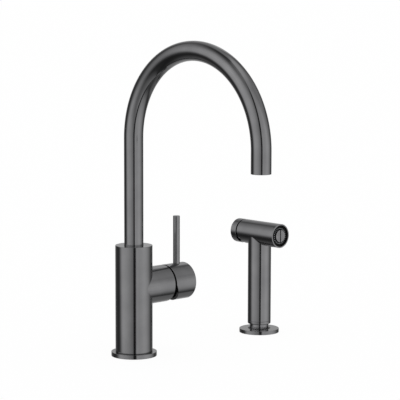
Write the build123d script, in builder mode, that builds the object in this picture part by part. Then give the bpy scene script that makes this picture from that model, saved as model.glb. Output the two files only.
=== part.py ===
"""Side spray kitchen faucet: a gooseneck mixer with a side lever, and a pull-out spray handset
in its own deck ring beside it.  Millimetres.  The origin is the mixer's axis on the worktop,
+Z is up, the spout points along -Y, and the lever and the spray stand towards +X."""
from build123d import *
import os
from math import atan2, cos, degrees, radians, sin, tan

os.makedirs("parts", exist_ok=True)

# ------------------------------------------------------------------ sizes: clearances
seat_gap = 0.1          # a piece seated in another one
turning_gap = 0.2       # radial clearance of what turns or slides inside the mixer
hairline = 0.15         # joint line between the handset and its hose collar

# ------------------------------------------------------------------ sizes: mixer body
flange_d = 59.6         # ring on the worktop
flange_h = 5.5
flange_bevel = 0.2
body_d = 48.6
body_top_z = 145.6
body_bevel = 0.4
block_d = 42.0          # brass block that closes the body's foot
block_h = 26.5
seal_groove_w = 2.8     # underside groove of both deck rings
seal_groove_h = 2.0

# ------------------------------------------------------------------ sizes: water ports
port_thread_d = 9.0     # M10x1 ports for the hose tails
port_thread_l = 12.0
waterway_d = 7.0
spray_waterway_d = 5.0
inlet_x = -3.0
inlet_y = 6.5
spray_port_x = -14.5
stud_hole_d = 5.0       # M6 studs
stud_hole_l = 14.0
stud_x = 12.0
stud_spacing = 18.0

# ------------------------------------------------------------------ sizes: lever side
barrel_step = 0.05      # the barrel's radius is this much less than the body's
barrel_z = 89.6
barrel_face_x = 52.2
barrel_bevel = 0.3
cap_gap = 2.1           # open slit between the barrel and the lever cap
cap_l = 34.4
cap_bevel = 0.4
cap_cut_deg = 23.0      # slope of the cap's lower rim
cap_bore_d = 43.0
cap_bore_l = 9.0
rod_d = 9.0             # upright rod of the lever
rod_x = 75.0
rod_top_z = 177.3
rod_bevel = 0.5
rod_seat = 1.5          # how deep the rod's foot is let into the cap
rod_stud_d = 6.0
rod_stud_l = 12.0

# ------------------------------------------------------------------ sizes: cartridge
cartridge_d = 35.0
cartridge_depth = 46.2  # from its seat in the barrel to the barrel's face
cartridge_wall = 2.1
base_l = 6.8            # base plate, from the seat gap to the discs
base_gap = 1.2          # seat to base plate, bridged by the port seals
port_drop = 5.1         # inlets below the cartridge axis
port_rise = 6.5         # outlet above it
disc_port_d = 6.0
port_seal_d = 10.6
disc_h = 3.0
fixed_disc_d = 26.0
moving_disc_d = 22.6
driver_h = 3.8
rail_h = 5.5
rail_l = 9.0
housing_l = 26.3        # from the seat to the housing's shoulder
neck_d = 26.0
neck_l = 12.5
collar_d = 21.2
collar_rise = 1.5       # how far the turning collar stands out of the neck
spindle_w = 7.0
spindle_tip_d = 5.0
pivot_x_from_seat = 32.0
tip_x_from_seat = 21.5
pivot_pin_d = 3.0
spindle_play = 0.25
tilt_deg = 20.0         # full opening of the lever
spindle_l = 43.0
nut_thread_d = 37.0
nut_l = 10.2
nut_hex_w = 30.0
nut_hex_l = 6.0
trim_ring_l = 2.0         # how far the black trim ring reaches into the barrel
trim_ring_proud = 0.6
trim_ring_edge = 0.7    # rim of the barrel left bare round it

# ------------------------------------------------------------------ sizes: spout
tube_d = 25.0
tube_wall = 1.2
tube_entry = 5.0        # how far the tube reaches down into the body
spring_z = 285.5        # where the arch springs from the riser
arch_r = 116.2
outlet_run = 27.4       # straight length from the arch down to the mouth
outlet_bevel = 0.3
adapter_d = 24.4
adapter_bore_d = 16.0
adapter_spigot_l = 9.2
o_ring_d = 2.1
groove_w = 2.4
land_w = 1.0
slip_ring_w = 2.8
stop_groove_w = 4.4
stop_groove_d = 20.0
stop_screw_d = 5.0
stop_tip_d = 3.6
stop_tip_l = 1.4
hex_socket_w = 2.5
hex_socket_l = 3.0
chamber_d = 18.4        # diverter chamber under the spout socket
chamber_h = 9.2
chamber_wall = 2.2

# ------------------------------------------------------------------ sizes: diverter
sleeve_floor = 1.5
sleeve_wall = 2.6
diverter_travel = 2.0
piston_h = 1.8
piston_stem_d = 2.8
sleeve_window_d = 2.4
spring_wire_d = 0.6

# ------------------------------------------------------------------ sizes: aerator
aerator_recess = 0.7
aerator_l = 11.2
aerator_bore_d = 18.4
aerator_lip_d = 16.4
aerator_lip_h = 1.4
aerator_key_w = 2.4
mesh_hole_d = 1.5
mesh_pitch = 2.1
mesh_h = 5.5
aerator_seal_h = 1.8

# ------------------------------------------------------------------ sizes: spray holder
spray_x = 231.2
holder_d = 55.0
holder_h = 5.2
holder_bevel = 0.2
holder_thread_d = 36.0  # takes the hollow fixing tube from below
holder_thread_l = 3.4
liner_d = 31.0
liner_wall = 2.25
liner_rise = 0.3
liner_lip_d = 22.0      # lip that the handset's hose collar rests on

# ------------------------------------------------------------------ sizes: hose collar
handle_d = 32.0
collar_foot_z = 12.0
collar_ring_h = 4.0
collar_round = 1.2
hose_neck_d = 26.0
hose_neck_lift = 2.2    # its lower end above the worktop
hose_thread_d = 18.6    # G1/2
hose_thread_l = 10.0
hose_washer_d = 17.0
hose_washer_h = 1.8
hose_bore_d = 14.0
spigot_d = 23.6
spigot_l = 14.0
clip_w = 1.4
clip_grip = 0.8
lift_travel = 95.0

# ------------------------------------------------------------------ sizes: handset
handle_bore_d = 24.0
handle_neck_bore_d = 18.0
handle_neck_l = 28.0
head_d = 33.0
head_z = 138.6
head_front = 39.1       # from the handle's axis to the face
head_rear = 28.9        # to the rear rim
head_bevel = 0.3
trigger_gap = 0.7
trigger_l = 11.4
trigger_bevel = 0.4
trigger_cut_deg = 23.0  # slope of the head's lower rear rim
trigger_deg = 16.0
face_bore_d = 29.8
face_bore_l = 8.0
chamber_bore_d = 25.2
valve_bore_d = 28.8
carrier_front_y = 8.0
carrier_l = 9.8
ear_gap = 3.6           # handset axis to an ear
ear_w = 2.6
ear_h = 6.0
lug_w = 2.4
lug_h = 5.6
pin_setback = 8.0       # hinge pin in front of the trigger's rim
trigger_pin_d = 2.4
trigger_wall = 3.2
trigger_floor = 3.0
stem_drop = 7.0         # valve stem below the head's axis
stem_d = 3.6
stem_head_d = 6.4
stem_head_h = 2.2
stem_play = 0.5         # between the trigger's boss and the stem
stem_ratio = 7.5        # stem travel per radian of trigger
boss_d = 3.2
seat_y = -11.0          # rear face of the valve seat
seat_h = 3.0
orifice_d = 7.2
valve_disc_d = 11.0
valve_disc_h = 1.6
valve_washer_h = 1.3

# ------------------------------------------------------------------ sizes: spray face
face_recess = 1.1
face_rim = 0.2
face_disc_d = 17.0
face_disc_proud = 0.3
face_disc_h = 3.0
face_ring_w = 0.85
face_slot_w = 1.8
face_slot_h = 2.2
face_screw_d = 5.8
nozzle_count = 24
nozzle_circle_d = 22.4
nozzle_d = 1.5
nozzle_ring_w = 2.6
nozzle_ring_h = 1.2

# ------------------------------------------------------------------ worked-out places
body_r = body_d / 2
barrel_r = body_r - barrel_step
block_r = block_d / 2
tube_r = tube_d / 2
tube_bore_r = tube_r - tube_wall
handle_r = handle_d / 2
head_r = head_d / 2
reach = 2 * arch_r
outlet_z = spring_z - outlet_run
barrel_bore_r = cartridge_d / 2 + 3 * seat_gap
nut_r = nut_thread_d / 2
seat_x = barrel_face_x - cartridge_depth
cap_face_x = barrel_face_x + cap_gap
cap_end_x = cap_face_x + cap_l
pivot_x = seat_x + pivot_x_from_seat
tip_x = seat_x + tip_x_from_seat
chamber_z = barrel_z + barrel_bore_r + chamber_wall
socket_z = chamber_z + chamber_h
tube_foot_z = body_top_z - tube_entry
collar_top_z = collar_foot_z + collar_ring_h
handset_foot_z = collar_top_z + hairline
trigger_rim_y = head_rear + trigger_gap
trigger_end_y = trigger_rim_y + trigger_l
pin_y = trigger_rim_y - pin_setback
stem_z = head_z - stem_drop

# Planes whose own Y runs along a turning axis and whose own X is the radius
mixer_section = Plane.XZ
lever_section = Plane(origin=(0, 0, barrel_z), x_dir=(0, 0, 1), z_dir=(0, 1, 0))
spray_section = Plane(origin=(spray_x, 0, 0), x_dir=(1, 0, 0), z_dir=(0, -1, 0))
head_section = Plane(origin=(spray_x, 0, head_z), x_dir=(0, 0, 1), z_dir=(-1, 0, 0))
stem_section = Plane(origin=(spray_x, 0, stem_z), x_dir=(0, 0, 1), z_dir=(-1, 0, 0))


def across_lever(x):
    """Plane square to the lever axis at x: its own X is world Y, its own Y is world Z."""
    return Plane(origin=(x, 0, barrel_z), x_dir=(0, 1, 0), z_dir=(1, 0, 0))


def across_head(y):
    """Plane square to the spray head's axis at y, facing the rear."""
    return Plane(origin=(spray_x, y, head_z), x_dir=(-1, 0, 0), z_dir=(0, 1, 0))


def turn(corners, section, mode=Mode.ADD):
    """Turned form: (radius, height) corners spun about the section plane's own Y."""
    with BuildSketch(section) as profile:
        with BuildLine():
            Polyline(*corners, close=True)
        make_face()
    revolve(profile.sketch, axis=Axis(section.origin, section.y_dir), mode=mode)


def turn_ring(inner_r, outer_r, low, high, section, mode=Mode.ADD):
    """Plain turned ring, or a plain disc where inner_r is 0."""
    turn([(inner_r, low), (outer_r, low), (outer_r, high), (inner_r, high)], section, mode)


def turn_seal(centre_r, wire_d, height, section):
    """Round-section rubber ring."""
    with BuildSketch(section) as profile:
        with Locations((centre_r, height)):
            Circle(wire_d / 2)
    revolve(profile.sketch, axis=Axis(section.origin, section.y_dir))


def drill(plane, places, diameter, depth, mode=Mode.SUBTRACT):
    """Round holes (or pegs) at places on a plane, along the plane's normal."""
    with BuildSketch(plane) as holes:
        with Locations(*places):
            Circle(diameter / 2)
    extrude(holes.sketch, amount=depth, mode=mode)


def bar(plane, places, width, height, length, mode=Mode.ADD):
    """Rectangular bars at places on a plane, along the plane's normal."""
    with BuildSketch(plane) as section:
        with Locations(*places):
            Rectangle(width, height)
    extrude(section.sketch, amount=length, mode=mode)


pieces = {}

# ------------------------------------------------------------------ deck ring of the mixer
flange_r = flange_d / 2
flange_bore_r = block_r + 4 * seat_gap
groove_r = (flange_bore_r + flange_r) / 2 + seal_groove_w / 2

with BuildPart() as base_flange:
    turn([(flange_bore_r, 0), (flange_r - flange_bevel, 0), (flange_r, flange_bevel),
          (flange_r, flange_h - flange_bevel), (flange_r - flange_bevel, flange_h),
          (flange_bore_r, flange_h)], mixer_section)
    turn_ring(groove_r - seal_groove_w, groove_r, 0, seal_groove_h, mixer_section, Mode.SUBTRACT)
pieces["base_flange"] = base_flange

with BuildPart() as deck_seal:
    turn_ring(groove_r - seal_groove_w + seat_gap, groove_r - seat_gap,
              seat_gap, seal_groove_h - seat_gap, mixer_section)
pieces["deck_seal"] = deck_seal

# ------------------------------------------------------------------ brass foot block
port_places = [(inlet_x, inlet_y), (inlet_x, -inlet_y), (spray_port_x, 0)]
stud_places = [(stud_x, stud_spacing / 2), (stud_x, -stud_spacing / 2)]
block_seal_z = block_h - 5.0

with BuildPart() as foot_block:
    turn_ring(0, block_r, 0, block_h, mixer_section)
    drill(Plane.XY, port_places, port_thread_d, port_thread_l)
    drill(Plane.XY.offset(port_thread_l), port_places[:2], waterway_d, block_h)
    drill(Plane.XY.offset(port_thread_l), port_places[2:], spray_waterway_d, block_h)
    drill(Plane.XY, stud_places, stud_hole_d, stud_hole_l)
    turn_ring(block_r - o_ring_d + seat_gap, block_r + 1, block_seal_z - groove_w / 2,
              block_seal_z + groove_w / 2, mixer_section, Mode.SUBTRACT)
pieces["foot_block"] = foot_block

with BuildPart() as block_seal:
    turn_seal(block_r - o_ring_d / 2 + 1.5 * seat_gap, o_ring_d - seat_gap, block_seal_z, mixer_section)
pieces["block_seal"] = block_seal

# ------------------------------------------------------------------ mixer body with its barrel
inlet_z = barrel_z - port_drop
outlet_port_z = barrel_z + port_rise
block_top_z = block_h + seat_gap
chamber_r = chamber_d / 2
socket_r = tube_r + turning_gap
stop_z = socket_z + 0.7 + land_w + slip_ring_w + land_w + stop_groove_w / 2
spray_duct_z = chamber_z + sleeve_floor + piston_h + 1.0

with BuildPart() as mixer_body:
    with BuildSketch(Plane.XY.offset(flange_h)):
        Circle(body_r)
    extrude(amount=body_top_z - flange_h)
    with BuildSketch(across_lever(0)):
        Circle(barrel_r)
    extrude(amount=barrel_face_x)
    chamfer(mixer_body.edges().filter_by(GeomType.CIRCLE).sort_by(Axis.Z)[-1], body_bevel)
    chamfer(mixer_body.edges().filter_by(GeomType.CIRCLE).sort_by(Axis.X)[-1], barrel_bevel)
    turn_ring(0, block_r + seat_gap, 0, block_top_z, mixer_section, Mode.SUBTRACT)
    # barrel: cartridge seat, then the wider thread of its nut
    turn([(0, seat_x), (barrel_bore_r, seat_x), (barrel_bore_r, seat_x + housing_l),
          (nut_r + seat_gap, seat_x + housing_l), (nut_r + seat_gap, barrel_face_x + 1),
          (0, barrel_face_x + 1)], lever_section, Mode.SUBTRACT)
    # spout socket over the diverter chamber
    turn([(0, chamber_z), (chamber_r, chamber_z), (chamber_r, socket_z), (socket_r, socket_z),
          (socket_r, body_top_z + 1), (0, body_top_z + 1)], mixer_section, Mode.SUBTRACT)
    # hot and cold ways up to the cartridge, and the mixed water's way to the spout
    drill(Plane.XY.offset(block_top_z - 1), port_places[:2], waterway_d, inlet_z - block_top_z + 1)
    drill(across_lever(inlet_x), [(inlet_y, -port_drop), (-inlet_y, -port_drop)],
          disc_port_d, seat_x - inlet_x + 1)
    drill(Plane.XY.offset(outlet_port_z), [(0, 0)], waterway_d, chamber_z - outlet_port_z + 1)
    drill(across_lever(0), [(0, port_rise)], disc_port_d, seat_x + 1)
    # way down to the side spray's hose
    drill(Plane.XY.offset(block_top_z - 1), port_places[2:], spray_waterway_d,
          spray_duct_z - block_top_z + 1)
    drill(across_lever(spray_port_x), [(0, spray_duct_z - barrel_z)], spray_waterway_d, -spray_port_x)
    # threaded hole of the spout's stop screw, at the back
    drill(Plane(origin=(0, 0, stop_z), x_dir=(1, 0, 0), z_dir=(0, 1, 0)), [(0, 0)],
          stop_screw_d + 2 * seat_gap, body_r + 1)
pieces["mixer_body"] = mixer_body

# ------------------------------------------------------------------ spout
with BuildPart() as spout_tube:
    with BuildLine():
        Line((0, 0, tube_foot_z), (0, 0, spring_z))
        ThreePointArc((0, 0, spring_z), (0, -arch_r, spring_z + arch_r), (0, -reach, spring_z))
        Line((0, -reach, spring_z), (0, -reach, outlet_z))
    with BuildSketch(Plane.XY.offset(tube_foot_z)):
        Circle(tube_r)
        Circle(tube_bore_r, mode=Mode.SUBTRACT)
    sweep()
    outlet_edges = spout_tube.edges().filter_by_position(Axis.Z, outlet_z - 0.01, outlet_z + 0.01)
    chamfer(outlet_edges.sort_by(SortBy.LENGTH)[-1], outlet_bevel)
pieces["spout_tube"] = spout_tube

adapter_r = adapter_d / 2
adapter_foot_z = socket_z + 0.7
seal_floor_r = socket_r - o_ring_d - seat_gap
low_slip_z = adapter_foot_z + land_w
stop_low_z = low_slip_z + slip_ring_w + land_w
seal_one_z = stop_low_z + stop_groove_w + land_w
seal_two_z = seal_one_z + groove_w + land_w
top_slip_z = seal_two_z + groove_w + land_w
slip_floor_r = adapter_r - 1.4

with BuildPart() as spout_adapter:
    turn([(adapter_bore_d / 2, adapter_foot_z), (adapter_r, adapter_foot_z), (adapter_r, tube_foot_z),
          (tube_bore_r - seat_gap, tube_foot_z), (tube_bore_r - seat_gap, tube_foot_z + adapter_spigot_l),
          (adapter_bore_d / 2, tube_foot_z + adapter_spigot_l)], mixer_section)
    for low_z, width, floor_r in ((low_slip_z, slip_ring_w, slip_floor_r),
                                  (stop_low_z, stop_groove_w, stop_groove_d / 2),
                                  (seal_one_z, groove_w, seal_floor_r),
                                  (seal_two_z, groove_w, seal_floor_r),
                                  (top_slip_z, slip_ring_w, slip_floor_r)):
        turn_ring(floor_r, socket_r, low_z, low_z + width, mixer_section, Mode.SUBTRACT)
pieces["spout_adapter"] = spout_adapter

with BuildPart() as spout_seals:
    for low_z in (seal_one_z, seal_two_z):
        turn_seal(socket_r - o_ring_d / 2, o_ring_d - seat_gap, low_z + groove_w / 2, mixer_section)
pieces["spout_seals"] = spout_seals

slip_slit = 2.0         # the slip rings are split so that they snap into their grooves
with BuildPart() as slip_rings:
    for low_z in (low_slip_z, top_slip_z):
        turn_ring(slip_floor_r + seat_gap, socket_r - seat_gap, low_z + seat_gap,
                  low_z + slip_ring_w - seat_gap, mixer_section)
    bar(Plane.XY.offset(adapter_foot_z), [(0, socket_r / 2)], slip_slit, socket_r,
        tube_foot_z - adapter_foot_z, Mode.SUBTRACT)
pieces["slip_rings"] = slip_rings

# Socket set screw at the back of the body: its tip runs in the adapter's stop groove
stop_tip_y = stop_groove_d / 2 + 2 * turning_gap
stop_plane = Plane(origin=(0, stop_tip_y, stop_z), x_dir=(1, 0, 0), z_dir=(0, 1, 0))
stop_screw_l = body_r - stop_tip_y - 1.0

with BuildPart() as spout_stop_screw:
    drill(stop_plane, [(0, 0)], stop_tip_d, stop_screw_l, Mode.ADD)
    drill(stop_plane.offset(socket_r + seat_gap - stop_tip_y), [(0, 0)], stop_screw_d,
          stop_screw_l - (socket_r + seat_gap - stop_tip_y), Mode.ADD)
    with BuildSketch(stop_plane.offset(stop_screw_l - hex_socket_l)):
        RegularPolygon(hex_socket_w / 2, 6, major_radius=False)
    extrude(amount=hex_socket_l, mode=Mode.SUBTRACT)
pieces["spout_stop_screw"] = spout_stop_screw

# ------------------------------------------------------------------ aerator in the spout's mouth
aerator_z = outlet_z + aerator_recess
outlet_section = Plane(origin=(0, -reach, 0), x_dir=(1, 0, 0), z_dir=(0, -1, 0))
outlet_plane = Plane(origin=(0, -reach, aerator_z))
aerator_r = tube_bore_r - seat_gap

with BuildPart() as aerator_housing:
    turn([(aerator_lip_d / 2, aerator_z), (aerator_r, aerator_z), (aerator_r, aerator_z + aerator_l),
          (aerator_bore_d / 2, aerator_z + aerator_l), (aerator_bore_d / 2, aerator_z + aerator_lip_h),
          (aerator_lip_d / 2, aerator_z + aerator_lip_h)], outlet_section)
    bar(outlet_plane, [(0, 0)], 2 * aerator_r + 1, aerator_key_w, aerator_lip_h / 2, Mode.SUBTRACT)
    bar(outlet_plane, [(0, 0)], aerator_key_w, 2 * aerator_r + 1, aerator_lip_h / 2, Mode.SUBTRACT)
pieces["aerator_housing"] = aerator_housing

with BuildPart() as aerator_insert:
    with BuildSketch(outlet_plane.offset(aerator_lip_h + seat_gap)):
        Circle(aerator_bore_d / 2 - seat_gap)
        with HexLocations(mesh_pitch / 2, 7, 7):
            Circle(mesh_hole_d / 2, mode=Mode.SUBTRACT)
    extrude(amount=mesh_h)
pieces["aerator_insert"] = aerator_insert

with BuildPart() as aerator_seal:
    turn_ring(aerator_lip_d / 2, aerator_r, aerator_z + aerator_l + seat_gap,
              aerator_z + aerator_l + seat_gap + aerator_seal_h, outlet_section)
pieces["aerator_seal"] = aerator_seal

# ------------------------------------------------------------------ diverter under the spout
sleeve_r = chamber_r - seat_gap * 2
sleeve_bore_r = sleeve_r - sleeve_wall
sleeve_low_z = chamber_z + seat_gap
sleeve_top_z = socket_z - seat_gap
lid_z = sleeve_top_z - sleeve_floor
piston_r = sleeve_bore_r - turning_gap
piston_low_z = sleeve_low_z + sleeve_floor + seat_gap
piston_top_z = piston_low_z + piston_h

with BuildPart() as diverter_sleeve:
    turn([(waterway_d / 2, sleeve_low_z), (sleeve_r, sleeve_low_z), (sleeve_r, sleeve_top_z),
          (piston_stem_d / 2 + turning_gap, sleeve_top_z), (piston_stem_d / 2 + turning_gap, lid_z),
          (sleeve_bore_r, lid_z), (sleeve_bore_r, sleeve_low_z + sleeve_floor),
          (waterway_d / 2, sleeve_low_z + sleeve_floor)], mixer_section)
    with BuildSketch(Plane.XY.offset(lid_z)):
        with PolarLocations((piston_stem_d / 2 + sleeve_bore_r) / 2, 6):
            Circle(sleeve_window_d / 2)
    extrude(amount=sleeve_floor, mode=Mode.SUBTRACT)
    drill(across_lever(-sleeve_r - 1), [(0, spray_duct_z - barrel_z)], sleeve_window_d, sleeve_wall + 2)
pieces["diverter_sleeve"] = diverter_sleeve

with BuildPart() as diverter_piston:
    turn([(0, piston_low_z), (piston_r, piston_low_z), (piston_r, piston_top_z),
          (piston_stem_d / 2, piston_top_z), (piston_stem_d / 2, sleeve_top_z - seat_gap),
          (0, sleeve_top_z - seat_gap)], mixer_section)
pieces["diverter_piston"] = diverter_piston


def coil(centre, direction, low, high, coil_r, wire_d, turns):
    """Open-wound compression spring between two planes square to its axis."""
    height = high - low - wire_d - 2 * seat_gap
    start = Vector(centre) + Vector(direction) * (low + wire_d / 2 + seat_gap)
    with BuildLine() as wire:
        Helix(height / turns, height, coil_r, center=start, direction=direction)
    with BuildSketch(Plane(origin=wire.line @ 0, z_dir=wire.line % 0)) as section:
        Circle(wire_d / 2)
    sweep(section.sketch, path=wire.line)


with BuildPart() as diverter_spring:
    coil((0, 0, 0), (0, 0, 1), piston_top_z, lid_z, (piston_stem_d / 2 + sleeve_bore_r) / 2,
         spring_wire_d, 3)
pieces["diverter_spring"] = diverter_spring

# ------------------------------------------------------------------ ceramic mixing cartridge
cartridge_r = cartridge_d / 2
base_x = seat_x + base_gap
base_end_x = base_x + base_l
housing_bore_r = cartridge_r - cartridge_wall
fixed_disc_x = base_end_x - disc_h + seat_gap
moving_disc_x = base_end_x + seat_gap * 1.5
driver_x = moving_disc_x + disc_h + seat_gap / 2
driver_top_x = driver_x + driver_h
collar_x = driver_top_x + 3 * seat_gap
shoulder_x = seat_x + housing_l
neck_end_x = shoulder_x + neck_l
collar_r = collar_d / 2
neck_bore_r = collar_r + turning_gap
cartridge_ports = [(inlet_y, -port_drop), (-inlet_y, -port_drop), (0, port_rise)]

with BuildPart() as cartridge_base:
    turn_ring(0, cartridge_r, base_x, base_end_x, lever_section)
    turn_ring(0, fixed_disc_d / 2 + seat_gap, fixed_disc_x - seat_gap, base_end_x + 1,
              lever_section, Mode.SUBTRACT)
    drill(across_lever(base_x), cartridge_ports, disc_port_d, base_l)
    drill(across_lever(base_x), cartridge_ports, port_seal_d + 2 * seat_gap, base_gap + seat_gap)
pieces["cartridge_base"] = cartridge_base

with BuildPart() as port_seals:
    drill(across_lever(seat_x + seat_gap), cartridge_ports, port_seal_d,
          2 * base_gap - seat_gap, Mode.ADD)
    drill(across_lever(seat_x), cartridge_ports, disc_port_d + 4 * seat_gap, 3 * base_gap)
pieces["port_seals"] = port_seals

with BuildPart() as fixed_disc:
    turn_ring(0, fixed_disc_d / 2, fixed_disc_x, base_end_x + seat_gap, lever_section)
    drill(across_lever(fixed_disc_x), cartridge_ports, disc_port_d - 4 * seat_gap, disc_h)
pieces["fixed_disc"] = fixed_disc

with BuildPart() as moving_disc:
    turn_ring(0, moving_disc_d / 2, moving_disc_x, moving_disc_x + disc_h, lever_section)
    # mixing pocket in the face that slides on the fixed disc
    with BuildSketch(across_lever(moving_disc_x)):
        SlotOverall(moving_disc_d * 0.72, moving_disc_d * 0.5)
    extrude(amount=disc_h / 2, mode=Mode.SUBTRACT)
pieces["moving_disc"] = moving_disc

pocket_w = spindle_tip_d + 2 * spindle_play
with BuildPart() as disc_driver:
    turn_ring(0, moving_disc_d / 2, driver_x, driver_top_x, lever_section)
    bar(across_lever(driver_top_x), [(0, 0)], spindle_w, rail_l, rail_h)
    bar(across_lever(tip_x - pocket_w / 2), [(0, 0)], spindle_w + 1, pocket_w, rail_h + driver_h,
        Mode.SUBTRACT)
pieces["disc_driver"] = disc_driver

with BuildPart() as cartridge_housing:
    turn([(cartridge_r, base_end_x + seat_gap), (cartridge_r, shoulder_x), (neck_d / 2, shoulder_x),
          (neck_d / 2, neck_end_x), (neck_bore_r, neck_end_x), (neck_bore_r, shoulder_x - cartridge_wall),
          (housing_bore_r, shoulder_x - cartridge_wall), (housing_bore_r, base_end_x + seat_gap)],
         lever_section)
pieces["cartridge_housing"] = cartridge_housing

# The collar turns in the housing, and the spindle rocks in its slot
slot_l = 2 * ((neck_end_x + collar_rise - pivot_x) * tan(radians(tilt_deg))
              + spindle_w / 2 / cos(radians(tilt_deg)) + 2 * spindle_play)
rail_travel = (pivot_x - tip_x) * sin(radians(tilt_deg))
rail_slot_l = rail_l + rail_travel + 4 * spindle_play

with BuildPart() as turning_collar:
    turn([(0, collar_x), (housing_bore_r - turning_gap, collar_x),
          (housing_bore_r - turning_gap, shoulder_x - cartridge_wall - turning_gap),
          (collar_r, shoulder_x - cartridge_wall - turning_gap),
          (collar_r, neck_end_x + collar_rise), (0, neck_end_x + collar_rise)], lever_section)
    bar(across_lever(collar_x), [(0, 0)], spindle_w + 2 * turning_gap, slot_l,
        neck_end_x + collar_rise - collar_x, Mode.SUBTRACT)
    bar(across_lever(collar_x), [(0, rail_travel / 2)], spindle_w + 2 * turning_gap, rail_slot_l,
        driver_top_x + rail_h + turning_gap - collar_x, Mode.SUBTRACT)
    drill(Plane(origin=(pivot_x, -collar_r - 1, barrel_z), x_dir=(1, 0, 0), z_dir=(0, 1, 0)),
          [(0, 0)], pivot_pin_d + seat_gap, collar_d + 2)
pieces["turning_collar"] = turning_collar

with BuildPart() as pivot_pin:
    drill(Plane(origin=(pivot_x, -collar_r + 2 * turning_gap, barrel_z), x_dir=(1, 0, 0), z_dir=(0, 1, 0)),
          [(0, 0)], pivot_pin_d, collar_d - 4 * turning_gap, Mode.ADD)
pieces["pivot_pin"] = pivot_pin

spindle_plane = Plane(origin=(0, -spindle_w / 2, barrel_z), x_dir=(1, 0, 0), z_dir=(0, 1, 0))
with BuildPart() as lever_spindle:
    bar(across_lever(pivot_x - spindle_w / 2), [(0, 0)], spindle_w, spindle_w,
        spindle_l - (pivot_x - tip_x) + spindle_w / 2)
    bar(across_lever(tip_x), [(0, 0)], spindle_w, spindle_tip_d * 0.8, pivot_x - tip_x)
    drill(spindle_plane, [(tip_x, 0)], spindle_tip_d, spindle_w, Mode.ADD)
    drill(spindle_plane, [(pivot_x, 0)], pivot_pin_d + 2 * seat_gap, spindle_w)
pieces["lever_spindle"] = lever_spindle

nut_x = shoulder_x + seat_gap * 3
with BuildPart() as cartridge_nut:
    turn_ring(0, nut_r, nut_x, nut_x + nut_l, lever_section)
    with BuildSketch(across_lever(nut_x + nut_l)):
        RegularPolygon(nut_hex_w / 2, 6, major_radius=False)
    extrude(amount=nut_hex_l)
    turn_ring(0, neck_d / 2 + 2 * seat_gap, nut_x - 1, nut_x + nut_l + nut_hex_l + 1,
              lever_section, Mode.SUBTRACT)
pieces["cartridge_nut"] = cartridge_nut

trim_x = barrel_face_x + trim_ring_proud
trim_bore_r = neck_bore_r + 0.6
with BuildPart() as barrel_trim_ring:
    turn([(trim_bore_r, barrel_face_x - trim_ring_l), (nut_r, barrel_face_x - trim_ring_l),
          (nut_r, barrel_face_x + seat_gap), (barrel_r - trim_ring_edge, barrel_face_x + seat_gap),
          (barrel_r - trim_ring_edge, trim_x), (trim_bore_r, trim_x)], lever_section)
pieces["barrel_trim_ring"] = barrel_trim_ring

# ------------------------------------------------------------------ lever cap and rod
cap_r = barrel_r
cut_depth = cap_r + 5
spindle_end_x = tip_x + spindle_l
grub_x = spindle_end_x - 4.0
grub_d = 5.0
grub_l = 8.0
grub_plane = Plane(origin=(grub_x, 0, barrel_z - spindle_w / 2 - seat_gap), x_dir=(1, 0, 0),
                   z_dir=(0, 0, -1))
rod_plane = Plane.XY.offset(barrel_z + cap_r - rod_seat)

with BuildPart() as lever_cap:
    with BuildSketch(across_lever(cap_face_x)):
        Circle(cap_r)
    extrude(amount=cap_l)
    chamfer(lever_cap.edges().filter_by(GeomType.CIRCLE).sort_by(Axis.X)[-1], cap_bevel)
    turn_ring(0, cap_bore_d / 2, cap_face_x - 1, cap_face_x + cap_bore_l, lever_section, Mode.SUBTRACT)
    bar(across_lever(cap_face_x), [(0, 0)], spindle_w + 2 * seat_gap, spindle_w + 2 * seat_gap,
        spindle_end_x + seat_gap - cap_face_x, Mode.SUBTRACT)
    drill(grub_plane, [(0, 0)], grub_d + 2 * seat_gap, cap_r)
    drill(rod_plane, [(rod_x, 0)], rod_d + 2 * seat_gap, rod_seat + 1)
    drill(rod_plane.offset(-rod_stud_l), [(rod_x, 0)], rod_stud_d + 2 * seat_gap, rod_stud_l)
    # the lower half of the rim slopes away, so that the cap can tip towards the barrel
    with BuildSketch(Plane.XZ):
        with BuildLine():
            Polyline((cap_face_x, barrel_z), (cap_face_x + cut_depth * tan(radians(cap_cut_deg)),
                     barrel_z - cut_depth), (cap_face_x - 1, barrel_z - cut_depth),
                     (cap_face_x - 1, barrel_z), close=True)
        make_face()
    extrude(amount=cut_depth, both=True, mode=Mode.SUBTRACT)
pieces["lever_cap"] = lever_cap

with BuildPart() as lever_grub_screw:
    drill(grub_plane, [(0, 0)], grub_d, grub_l, Mode.ADD)
    with BuildSketch(grub_plane.offset(grub_l - hex_socket_l)):
        RegularPolygon(hex_socket_w / 2, 6, major_radius=False)
    extrude(amount=hex_socket_l, mode=Mode.SUBTRACT)
pieces["lever_grub_screw"] = lever_grub_screw

with BuildPart() as grub_plug:
    drill(grub_plane.offset(grub_l + seat_gap), [(0, 0)], grub_d,
          cap_r - spindle_w / 2 - grub_l - 0.5, Mode.ADD)
pieces["grub_plug"] = grub_plug

with BuildPart() as lever_rod:
    drill(rod_plane, [(rod_x, 0)], rod_d, rod_top_z - barrel_z - cap_r + rod_seat, Mode.ADD)
    fillet(lever_rod.edges().sort_by(Axis.Z)[-1], rod_bevel)
    drill(rod_plane.offset(-rod_stud_l + seat_gap), [(rod_x, 0)], rod_stud_d, rod_stud_l, Mode.ADD)
pieces["lever_rod"] = lever_rod

# ------------------------------------------------------------------ deck ring of the side spray
holder_r = holder_d / 2
liner_r = liner_d / 2
liner_bore_r = liner_r - liner_wall
holder_groove_r = (holder_thread_d / 2 + holder_r) / 2 + seal_groove_w / 2

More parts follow.
